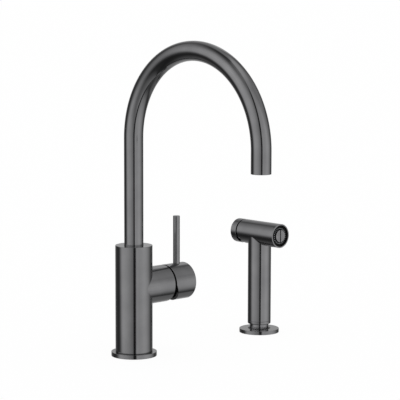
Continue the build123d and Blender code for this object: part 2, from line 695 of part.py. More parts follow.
with BuildPart() as spray_holder:
    turn([(holder_thread_d / 2, 0), (holder_r - holder_bevel, 0), (holder_r, holder_bevel),
          (holder_r, holder_h - holder_bevel), (holder_r - holder_bevel, holder_h),
          (liner_r + seat_gap, holder_h), (liner_r + seat_gap, holder_thread_l),
          (holder_thread_d / 2, holder_thread_l)], spray_section)
    turn_ring(holder_groove_r - seal_groove_w, holder_groove_r, 0, seal_groove_h,
              spray_section, Mode.SUBTRACT)
pieces["spray_holder"] = spray_holder

with BuildPart() as holder_seal:
    turn_ring(holder_groove_r - seal_groove_w + seat_gap, holder_groove_r - seat_gap,
              seat_gap, seal_groove_h - seat_gap, spray_section)
pieces["holder_seal"] = holder_seal

with BuildPart() as holder_liner:
    turn([(liner_lip_d / 2, seat_gap), (liner_r, seat_gap), (liner_r, holder_h + liner_rise),
          (liner_bore_r, holder_h + liner_rise), (liner_bore_r, hose_neck_lift - seat_gap),
          (liner_lip_d / 2, hose_neck_lift - seat_gap)], spray_section)
pieces["holder_liner"] = holder_liner

# ------------------------------------------------------------------ hose collar of the handset
spigot_top_z = collar_top_z + spigot_l
thread_end_z = hose_neck_lift + hose_thread_l
washer_end_z = thread_end_z + hose_washer_h
spigot_r = spigot_d / 2
collar_seal_z = collar_top_z + 4.0
clip_z = collar_top_z + 9.0
clip_floor_r = spigot_r - 1.4

with BuildPart() as hose_collar:
    turn([(hose_thread_d / 2, hose_neck_lift), (hose_neck_d / 2, hose_neck_lift),
          (hose_neck_d / 2, collar_foot_z), (handle_r - collar_round, collar_foot_z),
          (handle_r, collar_foot_z + collar_round), (handle_r, collar_top_z), (spigot_r, collar_top_z),
          (spigot_r, spigot_top_z), (hose_bore_d / 2, spigot_top_z), (hose_bore_d / 2, washer_end_z),
          (hose_washer_d / 2 + seat_gap, washer_end_z), (hose_washer_d / 2 + seat_gap, thread_end_z),
          (hose_thread_d / 2, thread_end_z)], spray_section)
    turn_ring(handle_bore_d / 2 - o_ring_d, spigot_r + 1, collar_seal_z - groove_w / 2,
              collar_seal_z + groove_w / 2, spray_section, Mode.SUBTRACT)
    turn_ring(clip_floor_r, spigot_r + 1, clip_z, clip_z + clip_w + 2 * seat_gap, spray_section,
              Mode.SUBTRACT)
pieces["hose_collar"] = hose_collar

with BuildPart() as collar_seal:
    turn_seal(handle_bore_d / 2 - o_ring_d / 2, o_ring_d - seat_gap, collar_seal_z, spray_section)
pieces["collar_seal"] = collar_seal

with BuildPart() as hose_washer:
    turn_ring(hose_bore_d / 2 - 1.5, hose_washer_d / 2, thread_end_z + seat_gap,
              washer_end_z - seat_gap, spray_section)
pieces["hose_washer"] = hose_washer

clip_slit = 6.0
with BuildPart() as collar_clip:
    turn_ring(clip_floor_r + seat_gap, handle_bore_d / 2 + clip_grip, clip_z + seat_gap,
              clip_z + seat_gap + clip_w, spray_section)
    bar(Plane.XY.offset(clip_z), [(spray_x, handle_r / 2)], clip_slit, handle_r, clip_w + 1, Mode.SUBTRACT)
pieces["collar_clip"] = collar_clip

valve_body_r = hose_bore_d / 2 - seat_gap
check_low_z = collar_top_z + 1.0
check_top_z = spigot_top_z - 1.0
with BuildPart() as check_valve:
    turn([(valve_body_r - 2.0, check_low_z), (valve_body_r, check_low_z), (valve_body_r, check_top_z),
          (valve_body_r - 2.0, check_top_z)], spray_section)
    bar(Plane.XY.offset(check_top_z - 2.0), [(spray_x, 0)], 2 * valve_body_r - 2.0, 1.6, 2.0)
    bar(Plane.XY.offset(check_top_z - 2.0), [(spray_x, 0)], 1.6, 2 * valve_body_r - 2.0, 2.0)
    turn([(0, check_low_z + 1.0), (valve_body_r - 3.0, check_low_z + 4.0), (1.2, check_low_z + 5.5),
          (1.2, check_top_z - 1.0), (0, check_top_z - 1.0)], spray_section)
pieces["check_valve"] = check_valve

# ------------------------------------------------------------------ handset body
handle_bore_r = handle_bore_d / 2
bore_top_z = head_z - handle_neck_l
rear_cut_depth = head_r + 5

with BuildPart() as handset_body:
    with BuildSketch(Plane(origin=(spray_x, 0, handset_foot_z))):
        Circle(handle_r)
    extrude(amount=head_z - handset_foot_z)
    with BuildSketch(across_head(-head_front)):
        Circle(head_r)
    extrude(amount=head_front + head_rear)
    rims = handset_body.edges().filter_by(GeomType.CIRCLE).sort_by(Axis.Y)
    chamfer([rims[0], rims[-1]], head_bevel)
    # water way up the handle, with the groove that holds the hose collar's clip
    turn([(0, handset_foot_z - 1), (handle_bore_r, handset_foot_z - 1), (handle_bore_r, bore_top_z),
          (handle_neck_bore_d / 2, bore_top_z), (handle_neck_bore_d / 2, head_z), (0, head_z)],
         spray_section, Mode.SUBTRACT)
    turn_ring(0, handle_bore_r + clip_grip + turning_gap, clip_z - turning_gap,
              clip_z + clip_w + 2 * turning_gap, spray_section, Mode.SUBTRACT)
    # head: face recess, water chamber and valve bore on one axis
    turn([(0, -head_front - 1), (face_bore_d / 2, -head_front - 1),
          (face_bore_d / 2, face_bore_l - head_front), (chamber_bore_d / 2, face_bore_l - head_front),
          (chamber_bore_d / 2, carrier_front_y), (valve_bore_d / 2, carrier_front_y),
          (valve_bore_d / 2, head_rear + 1), (0, head_rear + 1)], head_section, Mode.SUBTRACT)
    with BuildSketch(Plane.YZ.offset(spray_x)):
        with BuildLine():
            Polyline((head_rear, head_z),
                     (head_rear - rear_cut_depth * tan(radians(trigger_cut_deg)), head_z - rear_cut_depth),
                     (head_rear + 1, head_z - rear_cut_depth), (head_rear + 1, head_z), close=True)
        make_face()
    extrude(amount=rear_cut_depth, both=True, mode=Mode.SUBTRACT)
pieces["handset_body"] = handset_body

# ------------------------------------------------------------------ valve in the head
carrier_y = carrier_front_y + seat_gap
carrier_end_y = carrier_front_y + carrier_l
carrier_r = valve_bore_d / 2 - seat_gap
carrier_seal_y = carrier_y + 4.0
ear_x = ear_gap + ear_w / 2

with BuildPart() as valve_carrier:
    turn_ring(0, carrier_r, carrier_y, carrier_end_y, head_section)
    turn_ring(carrier_r - o_ring_d + seat_gap, carrier_r + 1, carrier_seal_y - groove_w / 2,
              carrier_seal_y + groove_w / 2, head_section, Mode.SUBTRACT)
    bar(across_head(carrier_end_y), [(ear_x, 0), (-ear_x, 0)], ear_w, ear_h,
        pin_y + ear_h / 2 - carrier_end_y)
    drill(Plane.YZ.offset(spray_x - carrier_r), [(pin_y, head_z)], trigger_pin_d + 2 * seat_gap, 2 * carrier_r)
    drill(across_head(carrier_y - 1), [(0, -stem_drop)], stem_d + 2 * turning_gap, carrier_l + 2)
pieces["valve_carrier"] = valve_carrier

with BuildPart() as carrier_seal:
    turn_seal(valve_bore_d / 2 - o_ring_d / 2, o_ring_d - seat_gap, carrier_seal_y, head_section)
pieces["carrier_seal"] = carrier_seal

with BuildPart() as valve_seat:
    turn_ring(0, chamber_bore_d / 2 - seat_gap, seat_y - seat_h, seat_y, head_section)
    drill(across_head(seat_y - seat_h), [(0, -stem_drop)], orifice_d, seat_h)
pieces["valve_seat"] = valve_seat

washer_front_y = seat_y - seat_h - seat_gap - valve_washer_h
stem_front_y = washer_front_y - valve_disc_h
boss_end_y = pin_y + (trigger_rim_y - pin_y) - 2.3
stem_end_y = boss_end_y - stem_play
stem_shoulder_y = stem_end_y - stem_head_h

with BuildPart() as valve_stem:
    turn([(0, stem_front_y), (valve_disc_d / 2, stem_front_y), (valve_disc_d / 2, washer_front_y),
          (stem_d / 2, washer_front_y), (stem_d / 2, stem_shoulder_y), (stem_head_d / 2, stem_shoulder_y),
          (stem_head_d / 2, stem_end_y - 0.8), (stem_head_d / 2 - 1.6, stem_end_y), (0, stem_end_y)],
         stem_section)
pieces["valve_stem"] = valve_stem

with BuildPart() as valve_washer:
    turn_ring(stem_d / 2 + seat_gap / 2, valve_disc_d / 2, washer_front_y + seat_gap / 2,
              washer_front_y + valve_washer_h, stem_section)
pieces["valve_washer"] = valve_washer

with BuildPart() as valve_spring:
    coil((spray_x, 0, stem_z), (0, 1, 0), carrier_end_y, stem_shoulder_y,
         stem_d / 2 + turning_gap + spring_wire_d, spring_wire_d, 4)
pieces["valve_spring"] = valve_spring

pin_l = 2 * (ear_gap + ear_w + turning_gap + lug_w)
with BuildPart() as trigger_pin:
    drill(Plane.YZ.offset(spray_x - pin_l / 2), [(pin_y, head_z)], trigger_pin_d, pin_l, Mode.ADD)
pieces["trigger_pin"] = trigger_pin

# ------------------------------------------------------------------ rocking trigger at the rear
lug_x = ear_gap + ear_w + turning_gap + lug_w / 2
trigger_inner_y = trigger_end_y - trigger_floor

with BuildPart() as trigger_cap:
    with BuildSketch(across_head(trigger_rim_y)):
        Circle(head_r)
    extrude(amount=trigger_l)
    chamfer(trigger_cap.edges().filter_by(GeomType.CIRCLE).sort_by(Axis.Y)[-1], trigger_bevel)
    turn_ring(0, head_r - trigger_wall, trigger_rim_y - 1, trigger_inner_y, head_section, Mode.SUBTRACT)
    bar(across_head(pin_y), [(lug_x, 0), (-lug_x, 0)], lug_w, lug_h, trigger_inner_y - pin_y)
    for side in (-1, 1):
        with BuildSketch(Plane.YZ.offset(spray_x + side * lug_x)):
            with Locations((pin_y, head_z)):
                Circle(lug_h / 2)
        extrude(amount=lug_w / 2, both=True)
    drill(Plane.YZ.offset(spray_x - head_r), [(pin_y, head_z)], trigger_pin_d + 2 * turning_gap, head_d)
    drill(across_head(boss_end_y), [(0, -stem_drop)], boss_d, trigger_inner_y - boss_end_y, Mode.ADD)
pieces["trigger_cap"] = trigger_cap

# ------------------------------------------------------------------ spray face
face_rear_y = face_bore_l - head_front - seat_gap
face_floor_y = -head_front + face_recess
face_front_y = -head_front + face_rim
disc_front_y = -head_front - face_disc_proud
disc_rear_y = disc_front_y + face_disc_h
face_r = face_bore_d / 2 - seat_gap
face_disc_r = face_disc_d / 2
ring_in_r = face_disc_r + 1.5 * seat_gap

with BuildPart() as face_plate:
    turn([(face_screw_d / 2 + seat_gap, face_rear_y), (face_r, face_rear_y), (face_r, face_floor_y),
          (ring_in_r + face_ring_w, face_floor_y), (ring_in_r + face_ring_w, face_front_y),
          (ring_in_r, face_front_y), (ring_in_r, disc_rear_y + seat_gap),
          (face_screw_d / 2 + seat_gap, disc_rear_y + seat_gap)], head_section)
    with BuildSketch(across_head(face_floor_y)):
        with PolarLocations(nozzle_circle_d / 2, nozzle_count):
            Circle(nozzle_d / 2 + seat_gap)
    extrude(amount=face_rear_y - face_floor_y, mode=Mode.SUBTRACT)
pieces["face_plate"] = face_plate

with BuildPart() as nozzle_ring:
    turn_ring((nozzle_circle_d - nozzle_ring_w) / 2, (nozzle_circle_d + nozzle_ring_w) / 2,
              face_rear_y + seat_gap, face_rear_y + seat_gap + nozzle_ring_h, head_section)
    with BuildSketch(across_head(-head_front)):
        with PolarLocations(nozzle_circle_d / 2, nozzle_count):
            Circle(nozzle_d / 2)
    extrude(amount=face_rear_y + seat_gap + head_front)
pieces["nozzle_ring"] = nozzle_ring

with BuildPart() as face_screw:
    turn([(0, disc_front_y), (face_disc_r - 0.3, disc_front_y), (face_disc_r, disc_front_y + 0.3),
          (face_disc_r, disc_rear_y), (face_screw_d / 2, disc_rear_y), (face_screw_d / 2, face_rear_y),
          (0, face_rear_y)], head_section)
    bar(across_head(disc_front_y), [(0, 0)], face_slot_w, face_disc_d + 1, face_slot_h, Mode.SUBTRACT)
pieces["face_screw"] = face_screw

# ------------------------------------------------------------------ write the pieces
for name, piece in pieces.items():
    piece.part.label = name
    export_step(piece.part, f"parts/{name}.step")
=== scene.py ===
"""The looks of the side spray kitchen faucet: a brushed gunmetal mixer with a gooseneck spout and
a side pin lever, and beside it a spray handset standing in its own deck ring.  Metres."""
import math

import bpy
from mathutils import Matrix, Vector


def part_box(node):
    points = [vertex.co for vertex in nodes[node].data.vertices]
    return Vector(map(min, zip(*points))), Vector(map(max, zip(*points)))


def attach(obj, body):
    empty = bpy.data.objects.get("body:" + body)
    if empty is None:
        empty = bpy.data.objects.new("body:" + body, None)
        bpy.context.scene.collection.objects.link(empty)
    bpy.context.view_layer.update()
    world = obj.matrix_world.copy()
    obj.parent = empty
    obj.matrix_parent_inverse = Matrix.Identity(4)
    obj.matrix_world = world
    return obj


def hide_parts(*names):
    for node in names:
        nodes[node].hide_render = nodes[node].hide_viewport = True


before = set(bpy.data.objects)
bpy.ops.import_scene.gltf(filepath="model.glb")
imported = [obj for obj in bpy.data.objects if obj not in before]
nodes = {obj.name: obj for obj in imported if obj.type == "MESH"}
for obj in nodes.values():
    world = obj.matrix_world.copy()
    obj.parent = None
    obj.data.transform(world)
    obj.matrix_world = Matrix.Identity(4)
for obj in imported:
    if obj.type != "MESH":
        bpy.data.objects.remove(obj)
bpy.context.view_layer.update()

# ---------------------------------------------------------------------------------------------
# Ring on the worktop.  A turned steel ring with the same brushed gunmetal coating as the whole
# faucet; the mixer's foot stands in its bore, and a rubber seal lies in a groove underneath.
# ---------------------------------------------------------------------------------------------
UP = Vector((0, 0, 1))
mixer_axis = Vector((0, 0, 0))
weld = 2e-6
crisp_angle = math.radians(12)
edge_angle = math.radians(35)


def pick(piece):
    """Selects one piece alone and makes it the active one."""
    bpy.ops.object.select_all(action="DESELECT")
    bpy.context.view_layer.objects.active = piece
    piece.select_set(True)


def start_piece(name):
    """One point at the origin, in edit mode, to draw a section from."""
    bpy.ops.object.select_all(action="DESELECT")
    bpy.ops.mesh.primitive_plane_add(size=0.001, location=(0, 0, 0))
    piece = bpy.context.object
    piece.name = piece.data.name = name
    bpy.ops.object.mode_set(mode="EDIT")
    bpy.ops.mesh.select_all(action="SELECT")
    bpy.ops.mesh.merge(type="CENTER")
    return piece


def close_piece():
    """Welds the doubled points of a spun or swept piece and turns its faces outwards."""
    bpy.ops.mesh.select_all(action="SELECT")
    bpy.ops.mesh.remove_doubles(threshold=weld)
    bpy.ops.mesh.normals_make_consistent(inside=False)
    bpy.ops.object.mode_set(mode="OBJECT")


def turned(name, half_section, foot, along=UP, steps=128):
    """A turned piece: (radius, height) corners of its half section are drawn by extruding one
    point, and the section is spun about the line that runs from foot along the axis."""
    out = along.orthogonal().normalized()
    places = [foot + out * radius + along * height for radius, height in half_section]
    ring = all(radius > 0 for radius, height in half_section)
    piece = start_piece(name)
    bpy.ops.transform.translate(value=places[0])
    for here, there in zip(places, places[1:] + places[:1] * ring):
        bpy.ops.mesh.extrude_region_move(TRANSFORM_OT_translate={"value": there - here})
    bpy.ops.mesh.select_all(action="SELECT")
    bpy.ops.mesh.spin(steps=steps, angle=2 * math.pi, center=foot, axis=along)
    close_piece()
    return piece


def apply_modifier(piece, kind, **settings):
    """Adds a modifier, sets it and applies it at once."""
    pick(piece)
    modifier = piece.modifiers.new(kind.title(), kind)
    for setting, value in settings.items():
        setattr(modifier, setting, value)
    bpy.ops.object.modifier_apply(modifier=modifier.name)


def shade(piece):
    """Smooth round a turned face, crisp at every edge, so that a long face keeps its normals."""
    pick(piece)
    bpy.ops.object.shade_smooth_by_angle(angle=crisp_angle)


def break_edges(piece, width, segments=3):
    """Rounds every machined edge of a piece a little, and shades what is round as round."""
    apply_modifier(piece, "BEVEL", width=width, segments=segments, limit_method="ANGLE",
                   angle_limit=edge_angle, use_clamp_overlap=True)
    shade(piece)


def add_node(tree, kind, inputs=None, **settings):
    """A shader node with its own settings and its inputs filled in."""
    node = tree.nodes.new(kind)
    for setting, value in settings.items():
        setattr(node, setting, value)
    for socket, value in (inputs or {}).items():
        node.inputs[socket].default_value = value
    return node


def stretched_noise(tree, scale, detail):
    """Noise in the piece's own coordinates, stretched by a scale for each direction."""
    place = add_node(tree, "ShaderNodeTexCoord")
    mapping = add_node(tree, "ShaderNodeMapping", {"Scale": scale})
    noise = add_node(tree, "ShaderNodeTexNoise",
                     {"Scale": 1.0, "Detail": detail, "Roughness": 0.55})
    tree.links.new(place.outputs["Object"], mapping.inputs["Vector"])
    tree.links.new(mapping.outputs["Vector"], noise.inputs["Vector"])
    return noise.outputs["Fac"]


def finish(name, marks, clouds, colours, gloss, depth, metallic=0.0):
    """A finish whose fine marks vary its roughness and relief, and whose wide clouds run its
    colour from dark to light.  marks and clouds are a noise's scale and detail, and only the
    middle of each noise is used; without clouds the marks colour it too."""
    noise_low, noise_high = 0.3, 0.7
    material = bpy.data.materials.new(name)
    material.use_nodes = True
    tree = material.node_tree
    surface = tree.nodes["Principled BSDF"]
    surface.inputs["Metallic"].default_value = metallic
    fine = stretched_noise(tree, *marks)
    wide = stretched_noise(tree, *clouds) if clouds else fine

    ramp = add_node(tree, "ShaderNodeValToRGB")
    for stop, place, colour in zip(ramp.color_ramp.elements, (noise_low, noise_high), colours):
        stop.position = place
        stop.color = (*colour, 1)
    tree.links.new(wide, ramp.inputs["Fac"])
    tree.links.new(ramp.outputs["Color"], surface.inputs["Base Color"])

    ranged = add_node(tree, "ShaderNodeMapRange", {"From Min": noise_low, "From Max": noise_high,
                                                   "To Min": gloss[0], "To Max": gloss[1]})
    tree.links.new(fine, ranged.inputs["Value"])
    tree.links.new(ranged.outputs["Result"], surface.inputs["Roughness"])

    bump = add_node(tree, "ShaderNodeBump", {"Distance": depth, "Strength": 1.0})
    tree.links.new(fine, bump.inputs["Height"])
    tree.links.new(bump.outputs["Normal"], surface.inputs["Normal"])
    return material


def across(axis, pitch, run):
    """Scales of the marks that a turning tool or a brush leaves round an axis: close together
    along it and long in the other directions."""
    return [pitch if abs(part) > 0.5 else run for part in axis]


def gunmetal(name, marks, depth):
    """Satin gunmetal coating over brushed steel."""
    return finish(name, marks, clouds=((35, 35, 35), 2),
                  colours=((0.190, 0.190, 0.195), (0.225, 0.225, 0.230)), gloss=(0.09, 0.12),
                  depth=depth, metallic=1.0)


def turned_gunmetal(name, axis):
    """Gunmetal coating over steel that was brushed in the lathe, round its turning axis."""
    brush_pitch = 1 / 0.00025
    brush_run = 1 / 0.02
    return gunmetal(name, marks=(across(axis, brush_pitch, brush_run), 4), depth=0.0000003)


def coat(piece, material):
    """Gives a piece its one material."""
    piece.data.materials.clear()
    piece.data.materials.append(material)


def dress(piece, material, body, stands_for):
    """Gives a new piece its material and body, and hides the CAD nodes that it stands for."""
    coat(piece, material)
    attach(piece, body)
    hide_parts(*stands_for)


gunmetal_upright = turned_gunmetal("gunmetal_turned_upright", UP)

seat_gap = 0.0001  # air between two pieces that touch in the real faucet
flange_play = 0.0004
flange_edge = 0.0002
groove_width = 0.0028
flange_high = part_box("base_flange")[1]
flange_radius = flange_high.x
flange_height = flange_high.z
block_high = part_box("foot_block")[1]
flange_bore = block_high.x + flange_play
seal_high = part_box("deck_seal")[1]
groove_outer = seal_high.x + seat_gap
groove_inner = groove_outer - groove_width
groove_depth = seal_high.z + seat_gap

flange = turned("mixer_flange",
                [(flange_bore, 0), (groove_inner, 0), (groove_inner, groove_depth),
                 (groove_outer, groove_depth), (groove_outer, 0), (flange_radius, 0),
                 (flange_radius, flange_height), (flange_bore, flange_height)], mixer_axis)
break_edges(flange, flange_edge)
dress(flange, gunmetal_upright, "mixer", ["base_flange"])

# ---------------------------------------------------------------------------------------------
# Foot block and its seals.  A machined brass block closes the body's foot and carries the hose
# and stud threads; the rubber rings are moulded, dark and dull.
# ---------------------------------------------------------------------------------------------


def moulded(name, dark, light, gloss, grain=2200, depth=0.000006):
    """Moulded plastic or rubber: a fine sparked texture and faint colour variation."""
    return finish(name, marks=((grain, grain, grain), 2), clouds=((150, 150, 150), 2),
                  colours=(dark, light), gloss=gloss, depth=depth)


def coat_nodes(material, *names):
    """Gives a material to solids that keep their CAD shape."""
    for name in names:
        coat(nodes[name], material)


# Turned brass with fine feed rings and slight tarnish
brass = finish("machined_brass", marks=((60, 60, 3500), 2), clouds=((120, 120, 120), 4),
               colours=((0.50, 0.36, 0.14), (0.68, 0.53, 0.25)), gloss=(0.22, 0.38),
               depth=0.000004, metallic=1.0)
rubber = moulded("black_rubber", (0.012, 0.012, 0.012), (0.022, 0.022, 0.022), (0.55, 0.75))
coat_nodes(brass, "foot_block")
coat_nodes(rubber, "deck_seal", "block_seal")

# ---------------------------------------------------------------------------------------------
# Mixer body.  A turned upright cylinder with a sideways barrel for the lever's cartridge; the
# two meet in a sharp line, and the spout drops into a socket in the flat top.
# ---------------------------------------------------------------------------------------------
SIDEWAYS = Vector((1, 0, 0))
REARWARD = Vector((0, 1, 0))


def bar(name, radius, low, high, foot, along=UP, steps=128):
    """A plain round bar between two heights along its axis."""
    return turned(name, [(0, low), (radius, low), (radius, high), (0, high)], foot, along, steps)


def cut(piece, tool, operation="DIFFERENCE"):
    """Cuts a tool out of a piece, or joins it on, and takes the tool away."""
    apply_modifier(piece, "BOOLEAN", object=tool, operation=operation, solver="EXACT")
    bpy.data.objects.remove(tool)


def mid_height(name):
    """The height of a node's middle."""
    low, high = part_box(name)
    return (low.z + high.z) / 2


sliding_gap = 0.0002  # play round what turns or slides
cartridge_gap = 0.0003
edge_break = 0.0004
barrel_edge = 0.0003
barrel_root = 0.002
slit_extra = 0.0008
socket_rest = 0.0007
seal_room = 0.0012
mouth_bevel = 0.0003
screw_hole_start = 0.011
screw_hole_end = 0.026

body_low, body_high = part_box("mixer_body")
body_radius = -body_low.x
body_top = body_high.z
foot_bore = block_high.x + seat_gap
foot_roof = block_high.z + seat_gap
tube_low, tube_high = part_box("spout_tube")
socket_radius = tube_high.x + sliding_gap
socket_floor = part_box("spout_adapter")[0].z - socket_rest
chamber_low, chamber_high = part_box("diverter_sleeve")
chamber_radius = chamber_high.x + sliding_gap
chamber_floor = chamber_low.z - seat_gap

body = turned("mixer_body_shell",
              [(0, foot_roof), (foot_bore, foot_roof), (foot_bore, flange_height),
               (body_radius, flange_height), (body_radius, body_top), (socket_radius, body_top),
               (socket_radius, socket_floor), (chamber_radius, socket_floor),
               (chamber_radius, chamber_floor), (0, chamber_floor)], mixer_axis, steps=160)
break_edges(body, edge_break)

barrel_radius = body_high.y
barrel_end = body_high.x - slit_extra
barrel_height = mid_height("lever_cap")
barrel_foot = Vector((0, 0, barrel_height))
barrel = bar("barrel", barrel_radius, barrel_root, barrel_end, barrel_foot, SIDEWAYS, steps=160)
break_edges(barrel, barrel_edge)
cut(body, barrel, "UNION")

nut_low, nut_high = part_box("cartridge_nut")
base_low, base_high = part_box("cartridge_base")
nut_bore = nut_high.y + seat_gap
bore_shoulder = nut_low.x - cartridge_gap
cartridge_bore = base_high.y + cartridge_gap
bore_floor = base_low.x - seal_room
cut(body, turned("bore_tool",
                 [(0, bore_floor), (cartridge_bore, bore_floor), (cartridge_bore, bore_shoulder),
                  (nut_bore, bore_shoulder), (nut_bore, barrel_end - mouth_bevel),
                  (nut_bore + 2 * mouth_bevel, barrel_end + mouth_bevel),
                  (0, barrel_end + mouth_bevel)], barrel_foot, SIDEWAYS, steps=96))

screw_low, screw_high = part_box("spout_stop_screw")
cut(body, bar("screw_tool", (screw_high.z - screw_low.z) / 2 + seat_gap, screw_hole_start,
              screw_hole_end, Vector((0, 0, mid_height("spout_stop_screw"))), REARWARD, steps=40))
shade(body)
dress(body, gunmetal_upright, "mixer", ["mixer_body"])


def plain_steel(name, axis):
    """Bright stainless steel with fine turning marks."""
    return finish(name, marks=(across(axis, 3000, 80), 2), clouds=None,
                  colours=((0.46, 0.46, 0.47), (0.58, 0.58, 0.60)), gloss=(0.22, 0.34),
                  depth=0.000002, metallic=1.0)


steel_rearward = plain_steel("stainless_steel_rearward", REARWARD)
coat_nodes(steel_rearward, "spout_stop_screw")

# ---------------------------------------------------------------------------------------------
# Spout.  One bent tube, brushed round and round, straight up, over a half circle and a short way
# down; it turns in the body on a grooved brass sleeve with two O-rings and two slip rings.
# ---------------------------------------------------------------------------------------------
tube_wall = 0.0012
tube_edge = 0.0003
outlet_height = 0.2581
tube_sides = 96
arch_steps = 120
tube_radius = tube_high.x
arch_radius = -(tube_low.y + tube_radius) / 2
spring_line = tube_high.z - tube_radius - arch_radius

bpy.ops.object.select_all(action="DESELECT")
bpy.ops.mesh.primitive_circle_add(vertices=tube_sides, radius=tube_radius,
                                  location=(0, 0, tube_low.z))
spout = bpy.context.object
spout.name = spout.data.name = "gooseneck"
bpy.ops.object.transform_apply()
bpy.ops.object.mode_set(mode="EDIT")
bpy.ops.mesh.select_all(action="SELECT")
bpy.ops.mesh.extrude_region_move(
    TRANSFORM_OT_translate={"value": (0, 0, spring_line - tube_low.z)})
bpy.ops.mesh.spin(steps=arch_steps, angle=math.pi, center=(0, -arch_radius, spring_line),
                  axis=(-1, 0, 0))
bpy.ops.mesh.extrude_region_move(
    TRANSFORM_OT_translate={"value": (0, 0, outlet_height - spring_line)})
close_piece()
apply_modifier(spout, "SOLIDIFY", thickness=tube_wall, offset=-1, use_even_offset=True)
break_edges(spout, tube_edge, segments=2)
gunmetal_tube = gunmetal("gunmetal_bent_tube", marks=((1400, 1400, 1400), 3), depth=0.0000002)
dress(spout, gunmetal_tube, "spout", ["spout_tube"])

grey_acetal = moulded("grey_acetal", (0.44, 0.45, 0.46), (0.52, 0.53, 0.54), (0.35, 0.5))
coat_nodes(brass, "spout_adapter")
coat_nodes(rubber, "spout_seals")
coat_nodes(grey_acetal, "slip_rings")

# ---------------------------------------------------------------------------------------------
# Aerator.  A black plastic shell with four key slots screws into the spout's mouth, with a
# honeycomb mesh and a flat rubber seal inside it.
# ---------------------------------------------------------------------------------------------
black_plastic = moulded("black_moulded_plastic", (0.014, 0.014, 0.015), (0.026, 0.026, 0.027),
                        (0.32, 0.5))
coat_nodes(black_plastic, "aerator_housing")
coat_nodes(grey_acetal, "aerator_insert")
coat_nodes(rubber, "aerator_seal")

# ---------------------------------------------------------------------------------------------
# Diverter.  Under the spout's socket a small piston in a plastic sleeve sends the water to the
# side spray when its valve opens; a light coil spring holds it down.
# ---------------------------------------------------------------------------------------------
steel_upright = plain_steel("stainless_steel_upright", UP)
coat_nodes(grey_acetal, "diverter_sleeve")
coat_nodes(black_plastic, "diverter_piston")
coat_nodes(steel_upright, "diverter_spring")

# ---------------------------------------------------------------------------------------------
# Ceramic mixing cartridge.  Plastic shell and base, two polished alumina discs, a turning collar
# that holds the steel spindle on a pin, and a brass nut that presses all of it on its seat.
# ---------------------------------------------------------------------------------------------
# Partly the parts' own black plastic, partly painted shade: a near black with little sheen for
# pieces that sit in the slit, the trigger's gap and the face's recess.
black_and_painted_shade = moulded("black_plastic_and_painted_shade", (0.002, 0.002, 0.002), (0.006, 0.006, 0.006),
                     (0.5, 0.7))
black_and_painted_shade.node_tree.nodes["Principled BSDF"].inputs["Specular IOR Level"].default_value = 0.1
alumina = moulded("polished_alumina", (0.78, 0.77, 0.72), (0.86, 0.85, 0.81), (0.08, 0.14),
                  grain=900, depth=0.000001)
steel_sideways = plain_steel("stainless_steel_sideways", SIDEWAYS)
coat_nodes(rubber, "port_seals")
coat_nodes(black_plastic, "cartridge_base", "turning_collar")
coat_nodes(grey_acetal, "cartridge_housing", "disc_driver")
coat_nodes(alumina, "fixed_disc", "moving_disc")
coat_nodes(brass, "cartridge_nut")
coat_nodes(steel_rearward, "pivot_pin")
coat_nodes(steel_sideways, "lever_spindle")
# The trim ring in the slit round the lever is painted near black for the shade that falls there.
coat_nodes(black_and_painted_shade, "barrel_trim_ring")

# ---------------------------------------------------------------------------------------------
# Lever cap and rod.  The turned cap continues the barrel across a narrow slit; the lower half of
# its rim slopes away so that it can tip, and the slim upright rod is screwed into its top.
# ---------------------------------------------------------------------------------------------


def half_width(name):
    """Half a node's width from left to right."""
    low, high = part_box(name)
    return (high.x - low.x) / 2


def block(centre, sides, planes=()):
    """A rectangular block, cut off beyond each plane, which is a point and a normal."""
    bpy.ops.object.select_all(action="DESELECT")
    bpy.ops.mesh.primitive_cube_add(size=1, location=centre)
    piece = bpy.context.object
    bpy.ops.transform.resize(value=sides)
    bpy.ops.object.transform_apply()
    bpy.ops.object.mode_set(mode="EDIT")
    for point, normal in planes:
        bpy.ops.mesh.select_all(action="SELECT")
        bpy.ops.mesh.bisect(plane_co=point, plane_no=normal, use_fill=True, clear_outer=True)
    bpy.ops.object.mode_set(mode="OBJECT")
    return piece


overshoot = 0.001  # how far a tool runs past the face that it cuts
cap_slope = math.radians(23)
cap_bore = 0.0215
cap_bore_depth = 0.009
wedge_size = 0.06
wedge_sides = (wedge_size, wedge_size, wedge_size)
rod_seat_depth = 0.0015
rod_pin_radius = 0.003
rod_edge = 0.0005
cap_low, cap_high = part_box("lever_cap")
cap_radius = (cap_high.y - cap_low.y) / 2
cap_face = cap_low.x
cap_bore_end = cap_face + cap_bore_depth

cap = turned("lever_cap_shell",
             [(0, cap_bore_end), (cap_bore, cap_bore_end), (cap_bore, cap_face),
              (cap_radius, cap_face), (cap_radius, cap_high.x), (0, cap_high.x)],
             barrel_foot, SIDEWAYS, steps=160)
break_edges(cap, edge_break)
cut(cap, block((cap_face, 0, barrel_height - wedge_size / 2), wedge_sides,
               [((cap_face, 0, barrel_height), (math.cos(cap_slope), 0, math.sin(cap_slope)))]))

grub_low, grub_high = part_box("lever_grub_screw")
grub_centre = (grub_low + grub_high) / 2
rod_low, rod_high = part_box("lever_rod")
rod_axis = Vector(((rod_low.x + rod_high.x) / 2, 0, 0))
rod_radius = half_width("lever_rod")
rod_foot = barrel_height + cap_radius - rod_seat_depth
cut(cap, bar("grub_tool", grub_high.y + seat_gap, cap_low.z - overshoot, grub_high.z + seat_gap,
             Vector((grub_centre.x, 0, 0)), steps=64))
cut(cap, bar("rod_tool", rod_radius + seat_gap, rod_foot, cap_high.z + overshoot, rod_axis,
             steps=64))
shade(cap)
gunmetal_sideways = turned_gunmetal("gunmetal_turned_sideways", SIDEWAYS)
dress(cap, gunmetal_sideways, "lever", ["lever_cap"])

